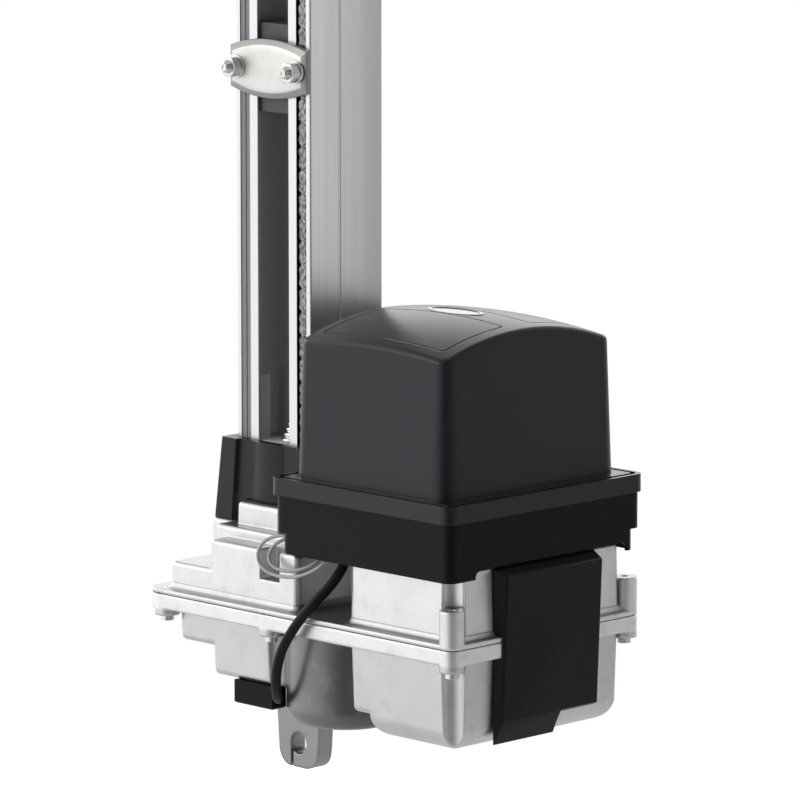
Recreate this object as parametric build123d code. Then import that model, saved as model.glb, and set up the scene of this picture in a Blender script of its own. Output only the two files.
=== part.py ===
from build123d import *
import math
import os

# Up-and-over door opener, in millimetres.
# Origin at the middle of the hanging lug's hole; +Z runs up the rail,
# -Y is the side that the carriage faces, +X points to the control box.

# Case: a die-cast upper and lower half that meet at a flange
parting_z = 106.0
gasket_thick = 0.6
case_wall = 3.0
case_draft = 1.5
flange_left = -74.0
flange_right = 219.0
flange_front = -79.0
flange_back = 102.0
flange_corner = 10.0
lower_flange_thick = 10.0
upper_flange_thick = 3.0
wall_corner = 5.0
top_edge_fillet = 2.5

# Upper half, block by block
low_block_left = -60.0
low_block_top = 128.0
mid_block_left = -22.0
left_mass_right = 65.0
mid_block_top = 148.0
left_mass_back = 94.0
case_front = -71.0
bridge_front = -20.0
bridge_back = 80.0
bridge_top = 146.0
right_body_left = 114.0
right_body_right = 213.5
right_body_back = 91.0
right_body_top = 156.0
back_block_left = -33.0
back_block_right = 57.0
back_block_front = -56.0
pedestal_half = 52.5
pedestal_front = -41.0
pedestal_back = 49.0
pedestal_top = 155.5
boss_half = 21.5
boss_top = 171.0
boss_front = -45.0
boss_back = 40.0
pocket_left = 29.0
pocket_right = 48.0
pocket_bottom = 127.6
pocket_depth = 16.0

# Lower half
shallow_left = -56.0
shallow_bottom = 73.5
deep_left = -24.0
deep_bottom = 54.0
deep_right = 54.0
lower_front = -67.0
lower_back = 85.0
bottom_edge_fillet = 4.0
bulge_x = 69.0
bulge_y = -29.0
bulge_radius = 40.0
bulge_bottom = 30.0
bulge_fillet = 12.0
right_step_bottom = 50.0
right_main_left = 131.0
right_bottom = 36.0
right_bottom_fillet = 14.0
lower_right_back = 87.0
lower_draft = 2.0

# Hanging lug and its split hole
lug_half_top = 23.0
lug_half_bottom = 18.0
lug_top = 56.0
lug_bottom = -17.0
lug_thick = 13.5
lug_corner = 12.0
lug_hole_radius = 7.75
lug_slit_width = 2.5
lug_slit_offset = 6.3

# Case screws in vertical flutes
case_screw_front = -71.0
case_screw_back = 93.5
case_screw_left = -62.0
case_screw_mid = 41.0
case_screw_right = 210.5
flute_radius = 10.0
screw_boss_radius = 8.5
screw_boss_top = 132.0
screw_hole_radius = 2.6
screw_radius = 2.5
screw_head_radius = 4.6
screw_head_height = 4.0
near_boss_drop = 5.0

# Rail: one extrusion with a chain slot on each side of the carriage's channel
rail_width = 72.0
rail_depth = 68.0
rail_front = -29.0
rail_wall = 2.0
rail_bottom = 174.0
rail_top = 570.0
mouth_half = 15.0
channel_half = 20.5
lip_thick = 2.4
channel_floor = -7.3
slot_depth = 17.0
side_groove_y = -1.0
side_groove_size = 0.8

# Rail socket
socket_half_top = 44.0
socket_half_bottom = 51.5
socket_top = 212.0
socket_front = -37.0
socket_back = 47.0
socket_arch_half = 24.0
socket_arch_top = 171.5
socket_valley_depth = 3.0
rail_clearance = 0.3
part_clearance = 0.3

# Chain: 8 mm pitch on 21-tooth sprockets
pitch = 8.0
teeth = 21
plate_height = 7.0
plate_thick = 0.8
inner_width = 3.0
link_gap = 0.06
chain_y = -24.5
sprocket_z = 116.0
straight_links = 61
sprocket_thick = 2.5
roller_radius = 2.5
sprocket_bore = 6.0
pitch_radius = pitch / 2 / math.sin(math.pi / teeth)
strand_x = round(pitch_radius, 1)
slot_inner = strand_x - 4.3
slot_outer = strand_x + 5.0
idler_z = sprocket_z + pitch * straight_links + pitch / 2

# Guard strip in front of the returning strand
guard_thick = 0.6
guard_recess = 0.5
guard_rib = 1.0

# Carriage
carriage_z = 466.5
plate_half = 37.0
plate_end_half = 14.0
plate_mid_half = 20.0
plate_bevel = 2.2
carriage_plate_thick = 6.3
carriage_gap = 0.3
stud_x = 28.5
stud_radius = 4.0
stud_length = 16.0
nut_flats = 13.0
nut_height = 6.5
washer_radius = 8.0
washer_thick = 1.6
slider_half = 17.0
slider_half_length = 30.0
slider_neck_half = 14.0
slider_clearance = 0.5

# Buffer at the lower end of the travel
buffer_base_radius = 9.0
buffer_tip_radius = 4.5
buffer_height = 24.0
buffer_ribs = 6
buffer_y = -16.5
liner_top = 256.0
liner_thick = 2.0

# Drive train
shaft_radius = 6.0
running_gap = 0.05
shaft_front = -39.0
shaft_back = 40.0
bearing_radius = 11.0
bearing_width = 7.0
wheel_y = 20.0
worm_gap = 0.5
worm_tip_radius = 8.0
worm_core_radius = 6.0
worm_centre_distance = 30.0
worm_half_length = 14.0
wheel_teeth = 24
wheel_tooth_depth = 2.2
wheel_width = 14.0
worm_shaft_radius = 5.0
worm_shaft_left = -32.0
worm_thread_count = 6
worm_bearing_left = -27.0
worm_bearing_right = 58.0
worm_bearing_radius = 9.5
web_half = 14.0
motor_left = 136.0
motor_right = 206.0
motor_radius = 37.0
motor_nose_radius = 16.0
motor_nose_length = 14.0
motor_rear_radius = 14.0
transformer_radius = 34.0
transformer_bore = 11.0
transformer_height = 42.0

# Tray and control board
tray_left = 51.5
tray_right = 216.3
tray_front = -79.0
tray_back = 104.0
tray_corner = 7.0
tray_top = 189.5
tray_rim_bottom = 164.8
tray_wall = 2.5
tray_step = 6.5
tray_bottom = 150.5
tray_floor = 3.0
tray_notch_bottom = 156.3
tray_notch_front = -55.0
tray_notch_back = 90.0
tray_notch_corner = 5.0
board_gap = 12.0
board_thick = 1.6
board_margin = 12.0
post_radius = 3.5
lid_screw_radius = 2.6
cable_hole_x = 103.0
cable_hole_y = -60.0
cable_hole_radius = 5.0
terminal_count = 11
terminal_step = 10.0
terminal_gap = 0.6
terminal_depth = 10.0
terminal_height = 11.0
terminal_inset = 3.0
terminal_start = 11.0
relay_step = 24.0
relay_length = 18.0
relay_height = 16.0
relay_front = 10.0
relay_back = 36.0
fuse_length = 24.0
fuse_height = 9.0
capacitor_radius = 12.5
capacitor_height = 40.0
capacitor_inset = 24.0

# Cover with its arched roof
cover_flange_left = 49.0
cover_flange_right = 218.0
cover_flange_front = -81.5
cover_flange_back = 106.0
cover_flange_corner = 8.0
cover_flange_height = 12.0
cover_lip_width = 3.0
cover_groove_depth = 2.5
cover_left = 61.5
cover_right = 207.0
cover_front = -73.5
cover_back = 92.5
cover_corner = 13.0
cover_draft = 2.2
cover_wall = 2.6
eave_z = 291.0
roof_rise_y = 16.0
roof_rise_x = 5.5
roof_fillet = 4.0
roof_panel_margin = 16.0
roof_band_half = 12.0
roof_groove_width = 1.0
roof_groove_depth = 0.8
badge_half_long = 24.0
badge_half_short = 11.0
badge_thick = 1.2

# Side box on the control end
side_box_front = -32.0
side_box_back = 55.5
side_box_top = 155.7
side_box_bottom = 36.5
side_box_face_top = 148.0
side_box_face_bottom = 52.4
side_box_reach_top = 9.9
side_box_reach_bottom = 5.7
side_box_edge = 1.5
side_box_step_y = 22.0
side_box_step_z = 50.0

# Sensor housing and its lead, spare wires
encoder_left = 0.0
encoder_right = 37.0
encoder_front = -67.0
encoder_back = -54.0
encoder_bottom = 38.0
cable_radius = 3.4
wire_radius = 1.2
gland_radius = 6.5
gland_lip = 1.5

# Idler end
fork_cheek_thick = 2.0
fork_cheek_gap = 4.3
fork_half = 12.0
fork_bottom = idler_z - 14.0
fork_bridge = idler_z + 33.0
fork_bridge_thick = 4.0
axle_radius = 4.0
axle_head_radius = 6.0
axle_head_height = 1.5
idler_bore = 4.05
end_wall = 3.0
end_side_bottom = rail_top - 40.0
end_front = -25.0
end_back = 35.0
cross_plate_z = idler_z + 47.0
end_top = cross_plate_z + 15.0
foot_reach = 28.0
foot_hole_radius = 4.5
foot_hole_inset = 14.0
tension_radius = 4.0
tension_clearance = 0.3
tension_head_flats = 13.0
tension_head_height = 5.5
end_screw_z = rail_top - 22.0
end_screw_rows = (-12.0, 22.0)
end_screw_radius = 3.0
end_screw_head_radius = 5.5
end_screw_head_height = 2.5


def span_box(x0, x1, y0, y1, z0, z1):
    """A box between two corners."""
    centre = Pos((x0 + x1) / 2, (y0 + y1) / 2, (z0 + z1) / 2)
    return centre * Box(x1 - x0, y1 - y0, z1 - z0)


def drafted(x0, x1, y0, y1, z0, z1, corner, draft):
    """A block that stands on z0 and narrows by its draft towards z1, upwards or downwards."""
    outline = Pos((x0 + x1) / 2, (y0 + y1) / 2) * RectangleRounded(x1 - x0, y1 - y0, corner)
    base = Plane.XY.offset(z0) * outline
    way = (0, 0, 1) if z1 > z0 else (0, 0, -1)
    return extrude(base, amount=abs(z1 - z0), dir=way, taper=draft)


def upright(radius, x, y, z0, z1):
    """A vertical cylinder between two heights."""
    return Pos(x, y, (z0 + z1) / 2) * Cylinder(radius, z1 - z0)


def along_y(radius, x, z, y0, y1):
    """A cylinder along Y."""
    return Pos(x, (y0 + y1) / 2, z) * Rot(90, 0, 0) * Cylinder(radius, y1 - y0)


def along_x(radius, y, z, x0, x1):
    """A cylinder along X."""
    return Pos((x0 + x1) / 2, y, z) * Rot(0, 90, 0) * Cylinder(radius, x1 - x0)


def hex_prism(flats, x, y, z, height):
    """A hexagon nut's outline, extruded up by its height."""
    outline = Plane.XY.offset(z) * Pos(x, y) * RegularPolygon(flats / math.sqrt(3), 6)
    return extrude(outline, amount=height)


def top_edges(solid, z):
    """The edges that lie in the horizontal plane at z."""
    return solid.edges().filter_by_position(Axis.Z, z - 0.01, z + 0.01)


# Case halves
upper_base = parting_z + gasket_thick
upper_flange_top = upper_base + upper_flange_thick
lower_flange_bottom = parting_z - lower_flange_thick


def upper_blocks(inset):
    """The upper half's blocks, each set in by a wall thickness."""
    low = drafted(low_block_left + inset, left_mass_right - inset, case_front + inset,
                  left_mass_back - inset, upper_base, low_block_top - inset, wall_corner, case_draft)
    mid = drafted(mid_block_left + inset, left_mass_right - inset, case_front + inset,
                  left_mass_back - inset, upper_base, mid_block_top - inset, wall_corner, case_draft)
    bridge = drafted(left_mass_right - 20 + inset, right_body_left + 20 - inset, bridge_front + inset,
                     bridge_back - inset, upper_base, bridge_top - inset, wall_corner, case_draft)
    pedestal = drafted(-pedestal_half + inset, pedestal_half - inset, pedestal_front + inset,
                       pedestal_back - inset, upper_base, pedestal_top - inset, wall_corner, case_draft)
    back = drafted(back_block_left + inset, back_block_right - inset, back_block_front + inset,
                   left_mass_back - inset, upper_base, pedestal_top - inset, wall_corner, case_draft)
    right = drafted(right_body_left + inset, right_body_right - inset, case_front + inset,
                    right_body_back - inset, upper_base, right_body_top - inset, wall_corner, case_draft)
    return [low, mid, bridge, pedestal, back, right]


def united(solids):
    """One solid from several that overlap."""
    whole = solids[0]
    for solid in solids[1:]:
        whole = whole + solid
    return whole


def flange_plate(z0, z1):
    """The flange's outline between two heights, open at the side box."""
    outline = Pos((flange_left + flange_right) / 2, (flange_front + flange_back) / 2) * RectangleRounded(
        flange_right - flange_left, flange_back - flange_front, flange_corner)
    plate = extrude(Plane.XY.offset(z0) * outline, amount=z1 - z0)
    gap = span_box(right_body_right, flange_right + 1, side_box_front - part_clearance,
                   side_box_back + part_clearance, z0 - 1, z1 + 1)
    return plate - gap


case_screw_places = [
    (case_screw_left, case_screw_front), (case_screw_mid, case_screw_front),
    (case_screw_right, case_screw_front), (case_screw_left, case_screw_back),
    (case_screw_mid, case_screw_back), (case_screw_right, case_screw_back),
]
corner_places = [(case_screw_right, case_screw_front), (case_screw_right, case_screw_back)]
worm_z = sprocket_z - worm_centre_distance


def chain_passages(z0, z1, side, front):
    """Two slots that the chain's strands run through."""
    slots = []
    for way in (-1, 1):
        near = way * (slot_inner - side)
        far = way * (slot_outer + side)
        slots.append(span_box(min(near, far), max(near, far), chain_y - front, chain_y + front, z0, z1))
    return slots


def make_upper_case():
    """The upper half: blocks, flange, screw bosses, bearing webs and the boss between the socket's legs."""
    blocks = upper_blocks(0)
    dressed = []
    tops = (low_block_top, mid_block_top, bridge_top, pedestal_top, pedestal_top, right_body_top)
    for block, top in zip(blocks, tops):
        dressed.append(fillet(top_edges(block, top), top_edge_fillet))
    outer = united(dressed) + flange_plate(upper_base, upper_flange_top)
    for x, y in corner_places:
        outer = outer - upright(flute_radius, x, y, upper_flange_top, right_body_top + 1)
        outer = outer + upright(screw_boss_radius, x, y, upper_base, screw_boss_top)
    boss = drafted(-boss_half, boss_half, boss_front, boss_back, pedestal_top - 12, boss_top, 4, case_draft)
    boss = fillet(top_edges(boss, boss_top), 3)
    outer = outer + boss
    inner = united(upper_blocks(case_wall))
    shell = outer - inner
    for y0 in (shaft_front + 1, shaft_back - 1 - bearing_width):
        web = span_box(-web_half, web_half, y0, y0 + bearing_width, upper_base, pedestal_top - 1)
        shell = shell + web
        shell = shell - along_y(bearing_radius + running_gap, 0, sprocket_z, y0 - 0.01, y0 + bearing_width + 0.01)
    pocket = span_box(pocket_left, pocket_right, case_front - 1, case_front + pocket_depth,
                      pocket_bottom, mid_block_top + 1)
    liner = span_box(pocket_left - case_wall, pocket_right + case_wall, case_front + 2,
                     case_front + pocket_depth + case_wall, pocket_bottom - case_wall, mid_block_top - 1)
    shell = shell + liner - pocket
    for slot in chain_passages(pedestal_top - 2 * case_wall, pedestal_top + 1, 0.5, 5):
        shell = shell - slot
    for x, y in corner_places:
        shell = shell - upright(screw_hole_radius, x, y, upper_base - 1, screw_boss_top + 1)
    for x, y in case_screw_places:
        shell = shell - upright(screw_hole_radius, x, y, upper_base - 1, upper_flange_top + 1)
    return shell


def lower_blocks(inset):
    """The lower half's blocks, hanging from the parting plane, with their lower edges rounded."""
    floor = parting_z
    shallow = drafted(shallow_left + inset, deep_right - inset, lower_front + inset, lower_back - inset,
                      floor, shallow_bottom + inset, wall_corner, lower_draft)
    deep = drafted(deep_left + inset, deep_right - inset, lower_front + inset, lower_back - inset,
                   floor, deep_bottom + inset, wall_corner, lower_draft)
    bridge = drafted(deep_right - 20 + inset, right_body_left + 30 - inset, bridge_front + inset,
                     lower_back - inset, floor, shallow_bottom + inset, wall_corner, lower_draft)
    step = drafted(right_body_left + inset, right_main_left + 30 - inset, case_front + inset,
                   lower_right_back - inset, floor, right_step_bottom + inset, wall_corner, lower_draft)
    main = drafted(right_main_left - 2 + inset, right_body_right - inset, case_front + inset,
                   lower_right_back - inset, floor, right_bottom + inset, wall_corner, lower_draft)
    bulge = upright(bulge_radius - inset, bulge_x, bulge_y, bulge_bottom + inset, floor)
    bottoms = (shallow_bottom, deep_bottom, shallow_bottom, right_step_bottom, right_bottom, bulge_bottom)
    radii = (bottom_edge_fillet, bottom_edge_fillet, bottom_edge_fillet, bottom_edge_fillet,
             right_bottom_fillet, bulge_fillet)
    blocks = []
    for block, bottom, radius in zip([shallow, deep, bridge, step, main, bulge], bottoms, radii):
        blocks.append(fillet(top_edges(block, bottom + inset), radius - inset))
    return blocks


def make_lug():
    """The hanging lug: a tapered plate with a hole that a slit opens to its lower edge."""
    outline = Polyline((-lug_half_top, lug_top), (-lug_half_bottom, lug_bottom),
                       (lug_half_bottom, lug_bottom), (lug_half_top, lug_top), close=True)
    face = Plane.XZ * make_face(outline)
    plate = extrude(face, amount=lug_thick / 2, both=True)
    plate = fillet(plate.edges().filter_by(Axis.Y).group_by(Axis.Z)[0], lug_corner)
    plate = plate - along_y(lug_hole_radius, 0, 0, -lug_thick, lug_thick)
    slit = span_box(-lug_slit_offset - lug_slit_width / 2, -lug_slit_offset + lug_slit_width / 2,
                    -lug_thick, lug_thick, lug_bottom - 1, 0)
    return plate - slit


def make_lower_case():
    """The lower half: stepped blocks, the round bulge, the flange, flutes and the hanging lug."""
    outer = united(lower_blocks(0))
    for x, y in case_screw_places:
        outer = outer - upright(flute_radius, x, y, bulge_bottom - 5, lower_flange_bottom + 1)
    outer = outer + flange_plate(lower_flange_bottom, parting_z)
    for x, y in case_screw_places:
        outer = outer + upright(screw_boss_radius, x, y, lower_flange_bottom - near_boss_drop, parting_z)
    hollow = united(lower_blocks(case_wall))
    for x, y in case_screw_places:
        hollow = hollow - upright(flute_radius + case_wall, x, y, bulge_bottom, parting_z + 1)
    shell = outer - hollow
    for x, y in case_screw_places:
        shell = shell - upright(screw_hole_radius, x, y, deep_bottom, parting_z + 1)
    for x0 in (worm_bearing_left, worm_bearing_right):
        floor = shallow_bottom if x0 < deep_left else deep_bottom
        web = span_box(x0, x0 + bearing_width, wheel_y - web_half, wheel_y + web_half,
                       min(floor, shallow_bottom) + 1, parting_z - 2)
        shell = shell + web - along_x(worm_bearing_radius + running_gap, wheel_y, worm_z, x0 - 1, x0 + bearing_width + 1)
    for x0 in (motor_left + 10, motor_right - 16):
        rib = span_box(x0, x0 + 6, wheel_y - 24, wheel_y + 24, right_bottom + 1, worm_z - 14)
        shell = shell + rib - along_x(motor_radius, wheel_y, worm_z, x0 - 1, x0 + 7)
    return shell + make_lug()


def make_gasket():
    """A flat gasket ring between the two flanges."""
    plate = flange_plate(parting_z, upper_base)
    hollow = united([
        span_box(shallow_left + 8, deep_right, lower_front + 8, lower_back - 4, parting_z - 1, upper_base + 1),
        span_box(deep_right - 1, right_body_left + 10, bridge_front + 8, lower_back - 8, parting_z - 1, upper_base + 1),
        span_box(right_body_left + 8, right_body_right - case_wall, case_front + 14, lower_right_back - 8,
                 parting_z - 1, upper_base + 1),
    ])
    plate = plate - hollow
    for x, y in case_screw_places:
        plate = plate - upright(screw_hole_radius, x, y, parting_z - 1, upper_base + 1)
    return plate


def make_case_screws():
    """Socket-head screws up through the flange, one in each flute."""
    screws = []
    head_top = lower_flange_bottom - near_boss_drop
    for x, y in case_screw_places:
        shank = upright(screw_radius, x, y, head_top, upper_flange_top)
        head = upright(screw_head_radius, x, y, head_top - screw_head_height, head_top)
        socket = hex_prism(4, x, y, head_top - screw_head_height, 2)
        screws.append(shank + head - socket)
    return screws


# Rail and socket
rail_back = rail_front + rail_depth
rail_half = rail_width / 2


def rail_section():
    """The rail's cross-section: a box with a T-channel in the middle and a chain slot on each side."""
    section = Pos(0, (rail_front + rail_back) / 2) * RectangleRounded(rail_width, rail_depth, 1.5)
    inner_half = rail_half - rail_wall
    back_hollow = Pos(0, (channel_floor + rail_wall + rail_back - rail_wall) / 2) * Rectangle(
        2 * inner_half, rail_back - channel_floor - 2 * rail_wall)
    channel = Pos(0, (rail_front + lip_thick + channel_floor) / 2) * Rectangle(
        2 * channel_half, channel_floor - rail_front - lip_thick)
    mouth = Pos(0, rail_front) * Rectangle(2 * mouth_half, 3 * lip_thick)
    section = section - back_hollow - channel - mouth
    for way in (-1, 1):
        slot_mid = way * (slot_inner + slot_outer) / 2
        slot = Pos(slot_mid, rail_front + slot_depth / 2 - 1) * Rectangle(slot_outer - slot_inner, slot_depth + 2)
        groove = Pos(way * rail_half, side_groove_y) * Rectangle(2 * side_groove_size, side_groove_size)
        section = section - slot - groove
    return section


def make_rail():
    """The rail, extruded from its section."""
    return extrude(Plane.XY.offset(rail_bottom) * rail_section(), amount=rail_top - rail_bottom)


def socket_outline(half, front, back, valley):
    """The socket's outline: two legs with a gently bulging middle between two shallow valleys."""
    leg_inner = half * 0.62
    middle = half * 0.34
    with BuildLine() as line:
        Polyline((middle, front + valley), (leg_inner, front + valley), (leg_inner + 2, front), (half - 2, front))
        RadiusArc((half - 2, front), (half, front + 2), -2)
        Line((half, front + 2), (half, back))
        Line((half, back), (-half, back))
        Line((-half, back), (-half, front + 2))
        RadiusArc((-half, front + 2), (-half + 2, front), -2)
        Polyline((-half + 2, front), (-leg_inner - 2, front), (-leg_inner, front + valley), (-middle, front + valley))
        ThreePointArc((-middle, front + valley), (0, front), (middle, front + valley))
    return make_face(line.edges())


def make_socket():
    """The plastic socket that joins the rail to the case."""
    low = Plane.XY.offset(pedestal_top) * socket_outline(
        socket_half_bottom, socket_front, socket_back, socket_valley_depth)
    high = Plane.XY.offset(socket_top) * socket_outline(
        socket_half_top, socket_front, socket_back, socket_valley_depth)
    body = loft([low, high])
    pocket = span_box(-rail_half - rail_clearance, rail_half + rail_clearance, rail_front - rail_clearance,
                      rail_back + rail_clearance, rail_bottom, socket_top + 1)
    arch = span_box(-socket_arch_half, socket_arch_half, socket_front - 1, socket_back + 1,
                    pedestal_top - 1, socket_arch_top)
    arch = fillet(arch.edges().filter_by(Axis.Y).group_by(Axis.Z)[-1], 5)
    hollow = body - pocket - arch
    for slot in chain_passages(pedestal_top - 1, rail_bottom + 1, 0.3, 4.8):
        hollow = hollow - slot
    return hollow


# Chain
def chain_points():
    """The joints of the closed loop, in X and Z, from the drive sprocket's right tangent."""
    step = 2 * math.pi / teeth
    wrap = teeth // 2
    points = []
    for i in range(wrap + 1):
        points.append((pitch_radius * math.cos(-i * step), sprocket_z + pitch_radius * math.sin(-i * step)))
    for i in range(straight_links + 1):
        points.append((-pitch_radius, sprocket_z + pitch / 2 + pitch * i))
    for i in range(1, wrap + 1):
        angle = math.pi - i * step
        points.append((pitch_radius * math.cos(angle), idler_z + pitch_radius * math.sin(angle)))
    for i in range(straight_links):
        points.append((pitch_radius, idler_z - pitch / 2 - pitch * i))
    return points


def link_outline():
    """A link plate's outline about its middle, long side along X."""
    end = pitch / 2 + plate_height / 2
    waist = pitch / 2 + plate_height * 0.1
    half = plate_height / 2
    return Polyline((-end, 0), (-waist, -half), (waist, -half), (end, 0), (waist, half), (-waist, half), close=True)


def make_chain():
    """Every link of the loop; round the sprockets the inner links are open for the teeth."""
    outline = Plane.XZ * make_face(link_outline())
    inner_half = inner_width / 2 + plate_thick
    block = extrude(outline, amount=inner_half, both=True)
    plate = extrude(outline, amount=plate_thick / 2, both=True)
    inner_y = inner_width / 2 + plate_thick / 2
    outer_y = inner_half + link_gap + plate_thick / 2
    points = chain_points()
    links = []
    for i, (x0, z0) in enumerate(points):
        x1, z1 = points[(i + 1) % len(points)]
        at_wheel = min(z0, z1) < sprocket_z + 2 * pitch or max(z0, z1) > idler_z - 2 * pitch
        turn = -math.degrees(math.atan2(z1 - z0, x1 - x0))
        place = Pos((x0 + x1) / 2, chain_y, (z0 + z1) / 2) * Rot(0, turn, 0)
        if i % 2 == 1:
            links += [place * Pos(0, way * outer_y, 0) * plate for way in (-1, 1)]
        elif at_wheel:
            links += [place * Pos(0, way * inner_y, 0) * plate for way in (-1, 1)]
        else:
            links.append(place * block)
    return links


def toothed_disc(count, root, tip, thick, y, z, bore, phase):
    """A flat wheel along Y with plain pointed teeth and a bore; phase shifts the first tooth in tooth steps."""
    points = []
    for i in range(count):
        for part, radius in ((-0.30, root), (-0.10, tip), (0.10, tip), (0.30, root)):
            angle = 2 * math.pi * (i + phase + part) / count
            points.append((radius * math.cos(angle), radius * math.sin(angle)))
    outline = make_face(Polyline(*points, close=True))
    disc = extrude(Plane.XZ * outline, amount=thick / 2, both=True)
    disc = Pos(0, y, z) * disc
    return disc - along_y(bore, 0, z, y - thick, y + thick)


def make_sprocket(z, bore, hub_radius, hub_back, phase):
    """A chain wheel with a hub on one side."""
    root = pitch_radius - roller_radius
    wheel = toothed_disc(teeth, root, pitch_radius + 1.3, sprocket_thick, chain_y, z, bore, phase)
    hub = along_y(hub_radius, 0, z, chain_y, hub_back) - along_y(bore, 0, z, chain_y - 1, hub_back + 1)
    return wheel + hub


def make_guard():
    """A thin strip with a rib that closes the returning strand's slot."""
    left = -slot_outer + part_clearance
    right = -slot_inner - part_clearance
    strip = span_box(left, right, rail_front + guard_recess, rail_front + guard_recess + guard_thick,
                     socket_top, rail_top - 2)
    middle = (left + right) / 2
    rib = span_box(middle - guard_rib / 2, middle + guard_rib / 2, rail_front, rail_front + guard_recess + 0.1,
                   socket_top, rail_top - 2)
    return strip + rib


# Carriage
plate_back = rail_front - carriage_gap
plate_front = plate_back - carriage_plate_thick


def lens(inset):
    """The carriage plate's outline: straight ends, arched top and bottom edges."""
    half = plate_half - inset
    end = plate_end_half - inset
    middle = plate_mid_half - inset
    with BuildLine() as line:
        Line((half, -end), (half, end))
        ThreePointArc((half, end), (0, middle), (-half, end))
        Line((-half, end), (-half, -end))
        ThreePointArc((-half, -end), (0, -middle), (half, -end))
    return make_face(line.edges())


def make_carriage_plate():
    """The arched plate in front of the rail, with a bevelled front edge and two stud holes."""
    back = Plane.XZ.offset(-plate_back) * Pos(0, carriage_z) * lens(0)
    slab = extrude(back, amount=carriage_plate_thick - plate_bevel)
    front = Plane.XZ.offset(-plate_front) * Pos(0, carriage_z) * lens(plate_bevel)
    rim = Plane.XZ.offset(-(plate_front + plate_bevel)) * Pos(0, carriage_z) * lens(0)
    plate = slab + loft([rim, front])
    for way in (-1, 1):
        plate = plate - along_y(stud_radius + running_gap, way * stud_x, carriage_z, plate_front - 1, plate_back + 1)
    return plate


def make_slider():
    """The sliding block in the rail's channel, with a neck out to the plate."""
    block = span_box(-slider_half, slider_half, rail_front + lip_thick + slider_clearance,
                     channel_floor - slider_clearance, carriage_z - slider_half_length,
                     carriage_z + slider_half_length)
    neck = span_box(-slider_neck_half, slider_neck_half, plate_back, rail_front + lip_thick + slider_clearance + 1,
                    carriage_z - plate_mid_half + 4, carriage_z + plate_mid_half - 4)
    rails = [span_box(way * (slider_half + 1) - 1, way * (slider_half + 1) + 1, -22, -14,
                      carriage_z - slider_half_length, carriage_z + slider_half_length) for way in (-1, 1)]
    return united([block, neck] + rails)


def make_studs():
    """Two studs pressed into the plate."""
    return [along_y(stud_radius, way * stud_x, carriage_z, plate_front - stud_length + 4, plate_back)
            for way in (-1, 1)]


def make_washers():
    """A flat washer on each stud."""
    washers = []
    for way in (-1, 1):
        disc = along_y(washer_radius, way * stud_x, carriage_z, plate_front - washer_thick, plate_front)
        washers.append(disc - along_y(stud_radius + 0.2, way * stud_x, carriage_z, plate_front - 5, plate_front + 1))
    return washers


def make_nuts():
    """A hexagon nut on each stud, with chamfered corners."""
    nuts = []
    outer_face = plate_front - washer_thick
    for way in (-1, 1):
        outline = Plane.XZ.offset(-outer_face) * Pos(way * stud_x, carriage_z) * RegularPolygon(
            nut_flats / math.sqrt(3), 6)
        prism = extrude(outline, amount=nut_height)
        round_off = Pos(way * stud_x, outer_face - nut_height / 2, carriage_z) * Rot(90, 0, 0) * Cone(
            nut_flats / 2 + nut_height, nut_flats / 2 - 0.2, nut_height)
        bore = along_y(stud_radius, way * stud_x, carriage_z, outer_face - nut_height - 1, outer_face + 1)
        nuts.append((prism & round_off) - bore)
    return nuts


# Buffer
def make_buffer():
    """A ribbed cone that stops the carriage, standing on the socket's floor pin."""
    points = [(0, 0), (buffer_base_radius, 0)]
    rib = buffer_height / buffer_ribs
    for i in range(buffer_ribs):
        share = (i + 0.5) / buffer_ribs
        radius = buffer_base_radius + (buffer_tip_radius - buffer_base_radius) * share
        points.append((radius, i * rib + rib * 0.5))
        points.append((radius - 1.6, (i + 1) * rib))
    points.append((0, buffer_height))
    profile = Plane.XZ * make_face(Polyline(*points, close=True))
    cone = revolve(profile, Axis.Z)
    return Pos(0, buffer_y, socket_top) * cone


def make_buffer_bracket():
    """The angle that carries the buffer: a foot down to the rail's end and a liner on the channel's wall."""
    foot = span_box(-channel_half + 0.2, channel_half - 0.2, rail_front + lip_thick + 0.2, channel_floor - 0.2,
                    rail_bottom, socket_top)
    liner = span_box(-channel_half + 0.2, -channel_half + 0.2 + liner_thick, rail_front + lip_thick + 0.2,
                     rail_front + lip_thick + 12, socket_top, liner_top)
    return foot + liner


# Drive train
def make_shaft():
    """The output shaft along Y with a collar against its rear bearing."""
    shaft = along_y(shaft_radius, 0, sprocket_z, shaft_front, shaft_back)
    collar = along_y(shaft_radius + 2, 0, sprocket_z, wheel_y + wheel_width / 2 + 0.1, wheel_y + wheel_width / 2 + 3)
    return shaft + collar


def bearing_ring(outer, bore, width):
    """A bearing shown as its two rings and the shield between them."""
    ring = Cylinder(outer, width) - Cylinder(bore, width + 1)
    groove = Cylinder(outer * 0.88, 0.6) - Cylinder(bore * 1.2, 2)
    return ring - Pos(0, 0, width / 2) * groove - Pos(0, 0, -width / 2) * groove


def make_shaft_bearings():
    """The two bearings of the output shaft."""
    rings = []
    for y0 in (shaft_front + 1, shaft_back - 1 - bearing_width):
        place = Pos(0, y0 + bearing_width / 2, sprocket_z) * Rot(90, 0, 0)
        rings.append(place * bearing_ring(bearing_radius, shaft_radius + running_gap, bearing_width))
    return rings


wheel_tip = worm_centre_distance - worm_tip_radius - worm_gap


def make_worm_wheel():
    """The worm wheel on the output shaft."""
    return toothed_disc(wheel_teeth, wheel_tip - wheel_tooth_depth, wheel_tip, wheel_width, wheel_y,
                        sprocket_z, shaft_radius, 0.5)


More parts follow.
